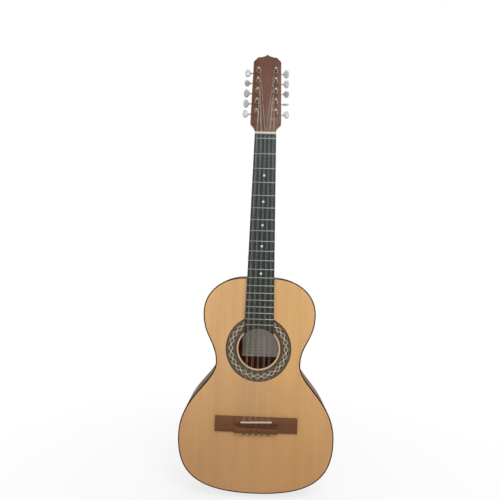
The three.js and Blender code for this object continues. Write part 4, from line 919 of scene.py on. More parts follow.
def plastic(name, colour, low, high, grain=0.02 * MM, coat=0.0):
    made, shader, place = new_material(name, Coat_Weight=coat)
    smudged(shader, place, low, high, 60.0)
    pale = [min(1.0, share * 1.25 + 0.004) for share in tint(*colour)[:3]] + [1.0]
    grains = noise(place, (2600, 2600, 2600))
    feed(shader, {"Base Color": blended(grains, tint(*colour), pale)})
    relief(shader, grains, grain, 0.35)
    return made


def pearl_material():
    made, shader, place = new_material(
        "pearl_grip", Coat_Weight=0.5, Coat_Roughness=0.08, Roughness=0.3)
    clouds = grouped(place, swirl, {
        "Light": tint(196, 195, 193), "Dark": tint(160, 160, 159), "Size": 210.0})
    feed(shader, {"Base Color": clouds.outputs["Color"]})
    relief(shader, clouds.outputs["Height"], 0.03 * MM, 0.2)
    return made


def banded(value, bands):
    """A colour for each range of a value from 0 to 1; bands are (start, colour)."""
    ramp = add(value.socket.id_data, "ShaderNodeValToRGB", {"Fac": value})
    ramp.color_ramp.interpolation = "CONSTANT"
    stops = ramp.color_ramp.elements
    while len(stops) < len(bands):
        stops.new(0.5)
    for stop, (start, colour) in zip(stops, bands):
        stop.position = start
        stop.color = tint(*colour)
    return ramp.outputs["Color"]


# Radius in millimetres where each band of the rosette starts, and its colour
ROSETTE_BANDS = (
    (44.5, (52, 40, 28)), (45.3, (150, 134, 104)), (45.9, (44, 28, 20)), (47.9, (112, 100, 72)),
    (48.6, (58, 44, 30)), (50.4, (150, 138, 110)), (51.1, (46, 38, 26)), (62.9, (150, 138, 110)),
    (63.6, (58, 46, 32)), (65.3, (116, 102, 76)), (65.9, (34, 24, 18)),
)
# Share of the battery's length where each band of its wrap starts, and its colour
WRAP_BANDS = (
    (0.0, (150, 152, 156)), (0.06, (38, 48, 62)), (0.7, (172, 120, 66)), (0.94, (150, 152, 156)))


def rosette_material():
    """Rings of bands with short radial tiles in them."""
    made, shader, place = new_material("rosette_mosaic", Specular_IOR_Level=0.25)
    tree = made.node_tree
    centred = add(tree, "ShaderNodeMapping",
                  {"Vector": place, "Location": (0, 0, -SOUNDHOLE_HEIGHT)})
    x, z = parts_of(centred.outputs[0])[::2]
    radius = length_of(combined(tree, x, 0.0, z))
    share = ranged(radius, ROSETTE_INNER, ROSETTE_OUTER, kind="LINEAR")
    inner, span = ROSETTE_INNER / MM, (ROSETTE_OUTER - ROSETTE_INNER) / MM
    bands = banded(share, [((start - inner) / span, colour) for start, colour in ROSETTE_BANDS])
    tiles = worked("FRACT", worked("ARCTAN2", z, x) * (TILES_PER_LINK * CHAIN_LINKS / TURN))
    joint = ranged(worked("ABSOLUTE", tiles - 0.5), 0.38, 0.5)
    shade = joint * 0.3 + noise(place, (700, 700, 700), 3.0) * 0.2
    feed(shader, {"Base Color": blended(shade, bands, tint(40, 34, 24))})
    smudged(shader, place, 0.22, 0.4)
    relief(shader, shade, 0.03 * MM)
    return made


def paper_material():
    """Aged paper with plain ruled lines."""
    made, shader, place = new_material("label_paper", Roughness=0.85)
    rule = worked("LESS_THAN", worked("FRACT", parts_of(place)[2] / LABEL_RULE_PITCH), 0.07)
    stains = noise(place, (60, 60, 60), 4.0)
    aged = blended(stains, tint(252, 246, 236), tint(236, 226, 210))
    feed(shader, {"Base Color": blended(rule * 0.55, aged, tint(70, 62, 52))})
    relief(shader, stains, 0.05 * MM, 0.3)
    return made


def wound_material():
    """Bronze wire wrapped round the string, turn by turn along its length, with painted shade in
    the groove and a painted highlight on the crest of each turn.
    """
    made, shader, place = new_material("wound_bronze", Metallic=1.0)
    along = number(add(made.node_tree, "ShaderNodeAttribute", attribute_name="along"), "Fac")
    wrap = (worked("SINE", along * (TURN / WRAP_PITCH)) + 1.0) * 0.5
    # Painted shade and highlight: the same wave darkens each groove and lightens each crest in the
    # colour, and gives the bump.
    feed(shader, {"Base Color": blended(wrap, tint(120, 108, 90), tint(206, 198, 180))})
    smudged(shader, place, 0.28, 0.5, 120.0)
    relief(shader, wrap, 0.05 * MM, 0.6)
    return made


def cell_material():
    """A battery's printed wrap in plain bands."""
    made, shader, place = new_material("battery_wrap", Coat_Weight=0.4)
    share = ranged(parts_of(place)[0], BATTERY_LEFT, BATTERY_RIGHT, kind="LINEAR")
    feed(shader, {"Base Color": banded(share, WRAP_BANDS)})
    relief(shader, smudged(shader, place, 0.25, 0.45), 0.01 * MM, 0.3)
    return made


spruce = wood("spruce_top", (210, 167, 115), (182, 134, 84), 1.5 * MM, 0.34, 0.35, 0.36, 0.34,
              coat=0.12, wander=4 * MM, depth=0.02 * MM, matched=(216, 164, 88))
# Painted shade: the top darkens and warms towards the tail, standing for the light that falls off
# down the body.
painted_shade_below(spruce, (146, 96, 48), 0.06, 0.42, 0.46)
pale_ring = wood("maple_ring", (214, 178, 146), (188, 150, 116), 1.1 * MM, 0.3, 0.3, 0.2, 0.4)
brace_wood = wood("brace_spruce", (214, 186, 140), (186, 152, 104), 1.4 * MM, 0.5, 0.5, 0.3, 0.6,
                  turn=(0, QUARTER, 0))
lining_wood = wood("lining_cedar", (206, 172, 128), (170, 132, 88), 1.6 * MM, 0.3, 0.5, 0.4, 0.65)
back_wood = wood("dark_back_wood", (134, 72, 38), (56, 26, 14), 7 * MM, 0.3, 0.3, 0.55, 0.32,
                 pores=0.35, wander=12 * MM, coat=0.03, shine=0.05, matched=(96, 58, 34))
rib_wood = wood("dark_rib_wood", (120, 80, 50), (54, 31, 20), 6 * MM, 0.25, 0.3, 0.55, 0.46,
                pores=0.35, wander=7 * MM, turn=(0, 0, QUARTER), stretch=(0.06, 1, 1), shine=0.08)
dark_wood = wood("binding_wood", (46, 30, 22), (20, 12, 9), 1.2 * MM, 0.5, 0.4, 0.5, 0.5, pores=0.2,
                 shine=0.03)
block_wood = wood("block_wood", (190, 150, 104), (158, 116, 74), 3 * MM, 0.4, 0.4, 0.3, 0.6,
                  pores=0.2)
neck_wood = wood("neck_wood", (100, 62, 44), (62, 34, 24), 4 * MM, 0.3, 0.35, 0.4, 0.38, pores=0.4,
                 wander=9 * MM, coat=0.05, shine=0.16)
board_wood = wood("fretboard_wood", (47, 55, 54), (25, 30, 29), 1.8 * MM, 0.25, 0.35, 0.3, 0.5,
                  pores=0.4, wander=3 * MM, shine=0.15)
# Painted light: the board turns from its cool grey to warm brown towards the body, standing for the
# sheen that fades down it.
painted_shade_below(board_wood, (52, 42, 28), 0.3, 0.66, 0.7)
bridge_wood = wood("bridge_wood", (112, 74, 46), (66, 40, 25), 2.4 * MM, 0.4, 0.45, 0.45, 0.5,
                   pores=0.5, wander=5 * MM, turn=(0, QUARTER, 0), shine=0.15)
bone = plastic("nut_bone", (194, 181, 164), 0.32, 0.5, 0.01 * MM, coat=0.1)
# Painted shade: the saddle's bone is darker and pinker than the nut's, standing for the shadow on
# its face.
saddle_bone_in_shade = plastic("saddle_bone", (190, 164, 142), 0.4, 0.55, 0.01 * MM)
ivory_dot = plastic("dot_shell", (207, 210, 203), 0.2, 0.34, 0.01 * MM, coat=0.2)
link_shell = plastic("chain_inlay", (168, 156, 130), 0.3, 0.45, coat=0.1)
link_heart = plastic("chain_heart", (78, 66, 46), 0.35, 0.5)
black_plastic = plastic("black_housing", (22, 23, 24), 0.34, 0.5, 0.03 * MM)
lead_skin = plastic("lead_skin", (22, 22, 24), 0.4, 0.55)
knob_plastic = plastic("knob_plastic", (206, 206, 202), 0.3, 0.42)
print_ink = plastic("scale_ink", (188, 190, 190), 0.45, 0.6, 0.005 * MM)
nickel = metal("nickel", (178, 174, 166), 0.2, 0.38)
worn_nickel = metal("worn_nickel", (158, 136, 125), 0.46, 0.6)
gear_brass = metal("gear_brass", (168, 142, 96), 0.3, 0.46)
brass = metal("ball_brass", (96, 74, 46), 0.3, 0.5)
fret_metal = metal("fret_nickel", (128, 136, 135), 0.26, 0.42)
string_steel = metal("string_steel", (185, 189, 185), 0.24, 0.4)
wound_bronze = wound_material()
pearl = pearl_material()
rosette_mosaic = rosette_material()
label_paper = paper_material()
battery_wrap = cell_material()


# Body
def cross_bar(z, base, rise):
    """A bar across the body with a rounded crest and thinned ends."""
    half = BAR_WIDTH / 2
    reach = min(half_width_at(z + side * half, LINING_INSIDE) for side in (-1, 1)) - BAR_END_GAP
    flat = max(reach - BAR_TIP_LENGTH, BAR_WIDTH)
    sign = math.copysign(1, rise)
    stations = []
    for share in even_steps(1, BAR_TIP_STEPS):
        fall = (abs(rise) - BAR_TIP_HEIGHT) * (1 - math.cos(math.pi * share)) / 2
        stations.append((-flat - (reach - flat) * share, abs(rise) - fall))
    sections = []
    for x, height in stations[::-1] + [(-x, height) for x, height in stations]:
        crest = min(height, half)
        arc = [(half * math.cos(a), height - crest * (1 - math.sin(a)))
               for a in even_steps(math.pi, BAR_CREST_STEPS)]
        profile = [(half, 0)] + arc + [(-half, 0)]
        sections.append([Vector((x, base + sign * lift, z + side)) for side, lift in profile])
    return skin(sections)


def fan_brace(place):
    """A slim brace from the tail to the lower bar, one of the fan, with thinned ends."""
    lean = place * FAN_PITCH
    top = SOUNDHOLE_HEIGHT - LOWER_BAR_DROP - BAR_WIDTH
    foot = FAN_TAIL_GAP + abs(place) * FAN_PITCH * (1 - FAN_SPREAD)
    sections = []
    for share in even_steps(1, FAN_STEPS):
        height = FAN_HEIGHT * min(1, FAN_TIP_SHARE + FAN_TIP_SLOPE * min(share, 1 - share))
        x, z = lean + (lean * FAN_SPREAD - lean) * share, foot + (top - foot) * share
        sections.append([Vector((x + side * FAN_WIDTH / 2, TOP_INSIDE + lift * height, z))
                         for side, lift in FAN_SECTION_SHARES])
    return skin(sections)


def hole_ring(stations):
    """A ring round the soundhole, from (depth, radius) stations."""
    place = Matrix.Translation((0, 0, SOUNDHOLE_HEIGHT))
    return moved_shell(turned(stations, RING_SIDES, closed=True), place)


def make_body():
    centre = (0, SOUNDHOLE_HEIGHT)
    around_hole = lambda radius, sides=RING_SIDES: circle_points(radius, sides, centre)
    ring_edge, ring_floor = ROSETTE_INNER - RING_GAP, FRONT + ROSETTE_DEPTH - ROSETTE_FLOOR_GAP
    edge = offset(whole_edge, BINDING_WIDTH + PURFLING + GLUE_LINE)
    board = slab([edge, around_hole(ring_edge, HOLE_SIDES)], FRONT, TOP_INSIDE)
    panel = object_of("soundboard_panel", board)
    recess = slab([around_hole(ROSETTE_OUTER + GLUE_LINE), around_hole(ROSETTE_INNER - OVERCUT)],
                  FRONT - OVERCUT, FRONT + ROSETTE_DEPTH)
    joined_with(panel, "DIFFERENCE", object_of("recess", recess))
    finished(panel, spruce, "spruce", replaces=("soundboard",))
    bars = [cross_bar(z, TOP_INSIDE, BAR_HEIGHT)
            for z in (SOUNDHOLE_HEIGHT + UPPER_BAR_RISE, SOUNDHOLE_HEIGHT - LOWER_BAR_DROP)]
    fans = [fan_brace(i - (FAN_COUNT - 1) / 2) for i in range(FAN_COUNT)]
    piece("soundboard_braces", bars + fans, brace_wood, "spruce", replaces=("soundboard",),
          sharp=40)
    pale = hole_ring([
        (FRONT + HOLE_BEVEL, SOUNDHOLE_RADIUS), (FRONT, SOUNDHOLE_RADIUS + HOLE_BEVEL),
        (FRONT, ring_edge), (TOP_INSIDE, ring_edge), (TOP_INSIDE, SOUNDHOLE_RADIUS)])
    piece("soundhole_ring", [pale], pale_ring, "spruce")
    mosaic = hole_ring([(FRONT, ROSETTE_INNER), (FRONT, ROSETTE_OUTER), (ring_floor, ROSETTE_OUTER),
                        (ring_floor, ROSETTE_INNER)])
    piece("rosette_ring", [mosaic], rosette_mosaic, "inlay", replaces=("rosette",))
    panel = slab([offset(whole_edge, BINDING_WIDTH + GLUE_LINE)], back_inside, back_plane)
    piece("back_panel", [panel], back_wood, "rib_wood", replaces=("back_plate",))
    bars = [cross_bar(share * BODY_LENGTH, back_inside(share * BODY_LENGTH), -BAR_HEIGHT)
            for share in BACK_BAR_SHARES]
    piece("back_bars", bars, brace_wood, "rib_wood", replaces=("back_plate",), sharp=40)


def make_seam_strips():
    """The strip between the halves of the back, and the graft where the ribs meet at the tail."""
    strip = box_shell(-SEAM_STRIP_WIDTH / 2, SEAM_STRIP_WIDTH / 2,
                      lambda z: back_plane(z) - INLAY_DEPTH, lambda z: back_plane(z) + INLAY_PROUD,
                      SEAM_STRIP_FOOT, BODY_LENGTH - SEAM_STRIP_HEAD_GAP)
    piece("back_seam_strip", [strip], pale_ring, "rib_wood")
    spans = ((FRONT + BINDING_HEIGHT, -GRAFT_JACK_REACH),
             (GRAFT_JACK_REACH, back_plane(0) - BINDING_HEIGHT))
    inlaid = lambda left, right: [box_shell(left, right, near, far, -INLAY_PROUD, INLAY_DEPTH)
                                  for near, far in spans]
    inner = GRAFT_HALF_WIDTH - GRAFT_LINE_HALF_WIDTH
    outer = GRAFT_HALF_WIDTH + GRAFT_LINE_HALF_WIDTH
    piece("tail_graft_lines", inlaid(-outer, -inner) + inlaid(inner, outer), pale_ring, "rib_wood")
    piece("tail_graft", inlaid(-inner, inner), dark_wood, "rib_wood")


def make_rosette_chain():
    """Pale links with darker hearts, and the knots that tie them, let into the dark ring."""
    oval = lambda reach, span: oval_points(reach, span, even_steps(TURN, OVAL_SIDES)[:-1])
    reach, span = LINK_REACH - LINK_STROKE, LINK_SPAN - LINK_STROKE
    link_loops = [oval(LINK_REACH, LINK_SPAN), oval(reach, span)]
    heart_loop = oval(reach - CHAIN_GAP, span - CHAIN_GAP)
    for name, surface, half_depth, start, loops in (
            ("rosette_chain", link_shell, LINK_HALF_DEPTH, 0.0, link_loops),
            ("chain_hearts", link_heart, HEART_HALF_DEPTH, 0.0, [heart_loop]),
            ("chain_knots", link_shell, LINK_HALF_DEPTH, 0.5, [oval(KNOT_REACH, KNOT_SPAN)])):
        link = object_of("link", slab(loops, -half_depth, half_depth))
        repeated(name, link, ring_of_links, surface, "inlay", {
            "Count": CHAIN_LINKS, "Radius": CHAIN_RADIUS, "Start": start,
            "Centre": (0, FRONT + CHAIN_SINK, SOUNDHOLE_HEIGHT)})


def make_ribs():
    front = lambda z: FRONT + BINDING_HEIGHT
    back = lambda z: back_plane(z) - BINDING_HEIGHT
    profile = [(0, front), (0, back), (RIB_THICKNESS, back), (RIB_THICKNESS, front)]
    treble = swept_edge(profile, whole=False)
    bass = moved_shell(treble, Matrix.Diagonal((-1, 1, 1, 1)))
    seat = round_bar(JACK_SEAT_REACH, JACK_SEAT_RADIUS, JACK_SEAT_SIDES)
    seat = moved_shell(seat, Matrix.Rotation(QUARTER, 4, "X"))
    wide, high = CORE_HALF_WIDTH + SEAT_GAP, CORE_HALF_LENGTH + SEAT_GAP
    opening = box_shell(-RIB_OPENING_IN, RIB_OPENING_OUT, -wide, wide, -high, high)
    opening = moved_shell(opening, preamp_seat)
    for name, shell, cuts in (("rib_treble", treble, (seat,)), ("rib_bass", bass, (seat, opening))):
        made = object_of(name + "_bent", shell)
        joined_with(made, "DIFFERENCE", *[object_of("cut", cut) for cut in cuts])
        finished(made, rib_wood, "rib_wood", replaces=(name,))


def make_bindings():
    below_front = lambda lift: lambda z: FRONT + lift
    above_back = lambda lift: lambda z: back_plane(z) - lift
    ledge = BINDING_WIDTH + PURFLING
    corner = [(BINDING_ROUND * (1 - math.sin(a)), BINDING_ROUND * (1 - math.cos(a)))
              for a in even_steps(QUARTER, BINDING_CORNER_STEPS)]
    foot = [(0, BINDING_HEIGHT), (BINDING_WIDTH, BINDING_HEIGHT)]
    front = [(ledge, TOP_THICKNESS), (ledge, 0)] + corner + foot + [(BINDING_WIDTH, TOP_THICKNESS)]
    back = [(BINDING_WIDTH, 0)] + corner + foot
    for name, node, profile, depth in (("binding_front", "binding_top", front, below_front),
                                       ("binding_rear", "binding_back", back, above_back)):
        strip = swept_edge([(inset, depth(lift)) for inset, lift in profile])
        piece(name, [strip], dark_wood, "dark_wood", replaces=(node,), sharp=40)


def make_linings():
    """A thin strip along each edge with kerfed blocks on it."""
    outer = RIB_THICKNESS + GLUE_LINE
    inner = outer + LINING_STRIP
    path = offset(whole_edge, inner)
    edges = [(i, (i + 1) % len(path)) for i in range(len(path))]
    wide, half = LINING_WIDTH - LINING_STRIP, (KERF_PITCH - KERF) / 2
    block = ((0, 0), (wide, 0), (wide, LINING_HEIGHT * KERF_TOE_SHARE), (0, LINING_HEIGHT))
    for name, node, near, sign in (
            ("lining_front_kerfed", "lining_top", lambda z: TOP_INSIDE + GLUE_LINE, 1),
            ("lining_rear_kerfed", "lining_back", lambda z: back_inside(z) - GLUE_LINE, -1)):
        far = lambda z: near(z) + sign * LINING_HEIGHT
        strip = swept_edge([(outer, near), (outer, far), (inner, far), (inner, near)])
        piece(name + "_strip", [strip], lining_wood, "brace_wood", replaces=(node,))
        sections = [[Vector((-x, sign * y, end)) for x, y in block] for end in (-half, half)]
        places = [(p.x, near(p.y), p.y) for p in path]
        repeated(name, object_of("kerf_block", skin(sections)), blocks_along_edge, lining_wood,
                 "brace_wood", {"Pitch": KERF_PITCH}, places, edges, replaces=(node,))


def make_label():
    middle, half = (LABEL_LEFT + LABEL_RIGHT) / 2, (LABEL_RIGHT - LABEL_LEFT) / 2
    loop = [Vector((LABEL_RIGHT, LABEL_LOW)), Vector((LABEL_RIGHT, LABEL_HIGH))]
    angles = even_steps(math.pi, LABEL_ARCH_STEPS)[1:-1]
    loop += oval_points(half, LABEL_ARCH, angles, (middle, LABEL_HIGH))
    loop += [Vector((LABEL_LEFT, LABEL_HIGH)), Vector((LABEL_LEFT, LABEL_LOW))]
    sheet = slab([loop], lambda z: back_inside(z) - LABEL_THICKNESS,
                 lambda z: back_inside(z) - GLUE_LINE)
    piece("blank_label", [sheet], label_paper, "bone")


# Bridge
def make_bridge():
    """The saddle, the strip under it and their slot lean towards the nut on the treble side."""
    seat = Matrix.Translation((0, 0, SADDLE_PLACE))
    lean = seat @ Matrix.Rotation(-SADDLE_SLANT, 4, "Y") @ seat.inverted()
    crest, floor = FRONT - MOUND_HEIGHT, FRONT - SADDLE_SLOT_FLOOR

    def slot_box(spare, front):
        reach, half = SADDLE_HALF_LENGTH + SLOT_GAP + spare, SADDLE_THICKNESS / 2 + SLOT_GAP + spare
        return box_shell(-reach, reach, front, floor + spare,
                         SADDLE_PLACE - half, SADDLE_PLACE + half)

    filler, slot = slot_box(SLOT_SPARE, crest), moved_shell(slot_box(0, crest - OVERCUT), lean)
    refined("bridge", "bridge_body", bridge_wood, "bridge_wood", 0.5 * MM,
            cuts=(("UNION", filler), ("DIFFERENCE", slot)))
    refined("saddle", "saddle_crown", saddle_bone_in_shade, "bone", 0.35 * MM, turn=lean)
    refined("piezo_pickup", "pickup_strip", black_plastic, "plastic", 0.2 * MM, turn=lean)


# Neck
def neck_section(z, depth, heel):
    half = neck_half_width(z)
    points = []
    for angle in even_steps(math.pi, NECK_ARC_STEPS):
        narrow = 1 - HEEL_NARROW * heel * math.sin(angle)
        round_depth = depth * max(math.sin(angle), 0) ** (1 - heel / 2)
        points.append(Vector((half * math.cos(angle) * narrow, FRONT + round_depth, z)))
    return points


def neck_shaft():
    """The shaft from the headstock down to the heel, which sweeps out to the heel cap."""
    heel_depth = back_plane(BODY_LENGTH) - FRONT
    sections = [neck_section(HEAD_BREAK, SHAFT_DEPTH_AT_NUT, 0)]
    for step in even_steps(1, HEEL_STEPS):
        share = (1 - step) ** HEEL_SWEEP
        depth = heel_depth - (heel_depth - SHAFT_DEPTH_AT_HEEL) * math.sqrt(1 - (1 - share) ** 2)
        heel = (depth - SHAFT_DEPTH_AT_HEEL) / (heel_depth - SHAFT_DEPTH_AT_HEEL)
        height = BODY_LENGTH + HEEL_CAP_LENGTH + share * (HEEL_RISE - HEEL_CAP_LENGTH)
        sections.append(neck_section(height, depth, heel))
    return skin(sections + [neck_section(BODY_LENGTH + GLUE_LINE, heel_depth, 1)])


def head_outline():
    start = Vector((NUT_HALF_WIDTH, HEAD_STRAIGHT))
    shoulder = Vector((HEAD_SHOULDER_HALF_WIDTH, HEAD_SHOULDER))
    chamfer = Vector((HEAD_CHAMFER_HALF_WIDTH, HEAD_CHAMFER))
    points = [Vector((NUT_HALF_WIDTH, 0))]
    flare = Vector((NUT_HALF_WIDTH, (HEAD_STRAIGHT + HEAD_SHOULDER) / 2))
    points += bent(start, flare, shoulder, HEAD_BEND_STEPS)
    points.append(Vector((HEAD_CORNER_HALF_WIDTH, HEAD_CORNER)))
    crown = Vector((HEAD_CROWN_HALF_WIDTH, HEAD_CHAMFER))
    points += bent(chamfer, crown, Vector((0, HEAD_LENGTH)), HEAD_BEND_STEPS)
    return points + mirrored(points)[1:]


def head_half_width(along):
    share = (along - HEAD_SHOULDER) / (HEAD_CORNER - HEAD_SHOULDER)
    return HEAD_SHOULDER_HALF_WIDTH + (HEAD_CORNER_HALF_WIDTH - HEAD_SHOULDER_HALF_WIDTH) * share


def post_centre(side, row):
    along = FIRST_POST + row * MACHINE_PITCH
    return Vector((side * (head_half_width(along) - POST_EDGE_MARGIN), along))


def make_neck():
    holes = [circle_points(POST_BORE, POST_BORE_SIDES, post_centre(side, row))
             for side in (-1, 1) for row in range(MACHINES_PER_SIDE)]
    head = slab([head_outline()] + holes, 0, HEAD_THICKNESS, rim=HEAD_ROUND)
    head = moved_shell(head, head_frame)
    made = joined_with(object_of("neck_shaft", neck_shaft()), "UNION", object_of("head", head))
    low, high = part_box("neck_rod")
    channel = box_shell(low.x - SEAT_GAP, high.x + SEAT_GAP, FRONT - OVERCUT, high.y + SEAT_GAP,
                        low.z - SEAT_GAP, high.z + SEAT_GAP)
    joined_with(made, "DIFFERENCE", object_of("channel", channel))
    finished(made, neck_wood, "neck_wood", replaces=("neck",), sharp=38)


def dot_copy(radius):
    stations = [(-DOT_PROUD, 0), (-DOT_PROUD, radius - DOT_BEVEL), (0, radius), (DOT_DEPTH, radius)]
    return object_of("dot", turned(stations + [(DOT_DEPTH, 0)], DOT_SIDES))


def make_fretboard():
    """The board, hollowed at its end by the soundhole, with its frets and dots."""
    end_half = neck_half_width(SOUNDHOLE_HEIGHT + SOUNDHOLE_RADIUS * math.sqrt(0.5))
    reach = math.asin(end_half / SOUNDHOLE_RADIUS)
    outline = [Vector((SOUNDHOLE_RADIUS * math.sin(a),
                       SOUNDHOLE_HEIGHT + SOUNDHOLE_RADIUS * math.cos(a)))
               for a in even_steps(reach, BOARD_END_STEPS, -reach)]
    outline += [Vector((NUT_HALF_WIDTH, BOARD_TOP)), Vector((-NUT_HALF_WIDTH, BOARD_TOP))]
    plank = slab([outline], BOARD_FACE, FRONT, rim=BOARD_ROUND)
    piece("fretboard_plank", [plank], board_wood, "board_wood", replaces=("fretboard",))
    half = FRET_WIDTH / 2
    profile = [(-half, FRET_SINK), (half, FRET_SINK)]
    profile += [(half * math.cos(a), -FRET_HEIGHT * math.sin(a))
                for a in even_steps(math.pi, FRET_CROWN_STEPS)]
    sections = [[Vector((x, depth * (share if depth < 0 else 1), z * (0.5 + share / 2)))
                 for z, depth in profile] for x, share in FRET_END_SHARES]
    repeated("frets", object_of("fret_wire", skin(sections)), fret_row, fret_metal, "steel", {
        "Count": FRET_COUNT + 1, "Scale Length": SCALE_LENGTH, "Zero Fret": ZERO_FRET,
        "Depth": BOARD_FACE, "Half Width": neck_half_width(ZERO_FRET) - FRET_INSET,
        "Widening": (JOIN_HALF_WIDTH - NUT_HALF_WIDTH) / (BOARD_TOP - BODY_LENGTH)}, sharp=50)
    middles = [(fret_place(n) + fret_place(n - 1)) / 2 for n in DOT_FRETS]
    on_face = [(0, BOARD_FACE, z) for z in middles]
    on_side = [(-neck_half_width(z), BOARD_FACE + BOARD_THICKNESS / 2, z) for z in middles]
    for name, radius, places, turn in (("position_dots", DOT_RADIUS, on_face, 0),
                                       ("side_dots", SIDE_DOT_RADIUS, on_side, -QUARTER)):
        scattered(name, dot_copy(radius), places, [(0, 0, turn)] * len(places), ivory_dot, "bone")


# Strings
def string_place(string, span, pair_gap):
    course, within = string // 2, (string % 2) * 2 - 1
    return -span / 2 + span * course / (len(STRING_DIAMETERS) / 2 - 1) + within * pair_gap / 2


def winding(string, radius):
    """The turns of a string round its post, from where it comes up from the nut."""
    side = -1 if string < MACHINES_PER_SIDE else 1
    row = string if side < 0 else len(STRING_DIAMETERS) - 1 - string
    centre = post_centre(side, row)
    reach = POST_RADIUS + WINDING_POST_GAP + radius
    to_post = centre - Vector((string_place(string, *NUT_COURSES), 0))
    first = math.atan2(-to_post.y, -to_post.x) - side * math.acos(reach / to_post.length)
    pitch = 2 * radius + WINDING_GAP
    points = []
    for i in range(WINDING_TURNS * WINDING_STEPS + 1):
        angle = first - side * TURN * i / WINDING_STEPS
        points.append(head_frame @ Vector((
            centre.x + reach * math.cos(angle), -WINDING_RISE + pitch * i / WINDING_STEPS,
            centre.y + reach * math.sin(angle))))
    return points


def eased(points, reach):
    """Rounds each inner corner of a run of straight stretches."""
    made = [points[0]]
    for before, here, after in zip(points, points[1:], points[2:]):
        near = min(reach, (here - before).length / 3, (after - here).length / 3)
        start, end = (here + (other - here).normalized() * near for other in (before, after))
        made += bent(start, here, end, STRING_BEND_STEPS)
    return made + [points[-1]]


def make_strings():
    tie_y, rear = FRONT - TIE_HOLE_HEIGHT, SADDLE_PLACE - BRIDGE_BLOCK_REAR
    spool = [(depth * BALL_RADIUS, radius * BALL_RADIUS) for depth, radius in BALL_PROFILE_SHARES]
    for string, diameter in enumerate(STRING_DIAMETERS):
        radius = diameter / 2
        tie_x, nut_x = string_place(string, *SADDLE_COURSES), string_place(string, *NUT_COURSES)
        saddle_y = FRONT - SADDLE_HEIGHT - STRING_GAP - radius
        crown = SADDLE_PLACE + tie_x * math.tan(SADDLE_SLANT)
        nut_y = ZERO_FRET_TOP + STRING_GAP / 2 - radius
        wound = winding(string, radius)
        run = [Vector(place) for place in (
            (tie_x, tie_y, rear - BALL_TAIL_GAP), (tie_x, tie_y, SADDLE_PLACE - VALLEY_REAR),
            (tie_x, saddle_y, crown - SADDLE_THICKNESS / 4),
            (tie_x, saddle_y, crown + SADDLE_THICKNESS / 4),
            (nut_x, ZERO_FRET_TOP - STRING_GAP - radius, ZERO_FRET), (nut_x, nut_y, BOARD_TOP),
            (nut_x, nut_y, HEAD_BREAK))]
        name = f"string_{string + 1:02d}"
        surface, slot = (wound_bronze, "bronze") if string in WRAPPED else (string_steel, "steel")
        path = eased(run + wound[:1], STRING_BEND) + wound[1:]
        wire(name + "_wire", path, radius, STRING_SIDES, surface, slot, name)
        seat = Matrix.Translation((tie_x, tie_y, rear - SEAT_GAP - BALL_RADIUS))
        ball = turned(spool, BALL_SIDES, closed=True)
        ball = moved_shell(ball, seat @ Matrix.Rotation(QUARTER, 4, "Z"))
        piece(name + "_ball", [ball], brass, slot, replaces=(name,))


# Tuning machines
def joint_of(name):
    return next(joint for joint in frame["joints"] if joint["name"] == name)


def row_matrix(machine, carrier):
    """The frame at a machine's key or post: +X along its key, +Y into the headstock."""
    across, deep = (Vector(joint_of(f"{part}_{machine}_turn")["axis"]) for part in ("key", "post"))
    made = Matrix((across, deep, across.cross(deep))).transposed().to_4x4()
    made.translation = Vector(joint_of(f"{carrier}_{machine}_turn")["pos_m"])
    return made


def worm_shells(side):
    """The worm's core and shaft, and its thread, which fades in and out."""
    inner = WORM_HALF_LENGTH + LUG_GAP + LUG_THICKNESS + LUG_GAP
    stations = [(-inner, 0), (-inner, WORM_CORE_RADIUS - WORM_BEVEL),
                (-inner + WORM_BEVEL, WORM_CORE_RADIUS)]
    stations += [(BUTTON_FOOT + along, radius) for along, radius in SHAFT_COLLAR_PROFILE]
    core = moved_shell(turned(stations, WORM_SIDES), Matrix.Rotation(-side * QUARTER, 4, "Z"))
    flank = (WORM_ROOT_WIDTH - WORM_TIP_WIDTH) / 2 / (WORM_TIP_RADIUS - WORM_CORE_RADIUS)
    root = WORM_CORE_RADIUS - WORM_SINK
    wide, narrow = WORM_ROOT_WIDTH / 2 + flank * WORM_SINK, WORM_TIP_WIDTH / 2
    last = WORM_TURNS * WORM_STEPS
    sections = []
    for step in range(last + 1):
        turn = step / WORM_STEPS - WORM_TURNS / 2
        fade = min(1, WORM_FADE_SHARE + WORM_FADE_SLOPE * min(step, last - step) / WORM_STEPS)
        tip = WORM_CORE_RADIUS + (WORM_TIP_RADIUS - WORM_CORE_RADIUS) * fade
        angle = TURN * turn - QUARTER
        sections.append([
            Vector((turn * WORM_LEAD + shift, radius * math.cos(angle), radius * math.sin(angle)))
            for radius, shift in ((root, -wide), (root, wide), (tip, narrow), (tip, -narrow))])
    return [core, skin(sections)]


def button_shell(side, turn):
    """An oval grip, fuller towards its outer end, with soft edges and crowned faces."""
    sections = []
    for level in BUTTON_LEVEL_SHARES:
        shrink = max(1 - abs(level) ** BUTTON_EDGE_POWER, 0) ** (1 / BUTTON_EDGE_POWER)
        dish = 1 - BUTTON_DISH * (1 - shrink)
        rim = []
        for angle in even_steps(TURN, BUTTON_SIDES)[:-1]:
            along = BUTTON_FOOT + BUTTON_LENGTH / 2 * (1 - math.cos(angle) * shrink)
            full = (1 - math.cos(angle) * BUTTON_SWELL) * BUTTON_WIDTH / 2 * shrink
            rim.append(Vector((
                side * along, level * BUTTON_THICKNESS / 2 * dish, full * math.sin(angle))))
        sections.append(rim)
    return moved_shell(skin(sections), Matrix.Rotation(math.radians(turn), 4, "X"))


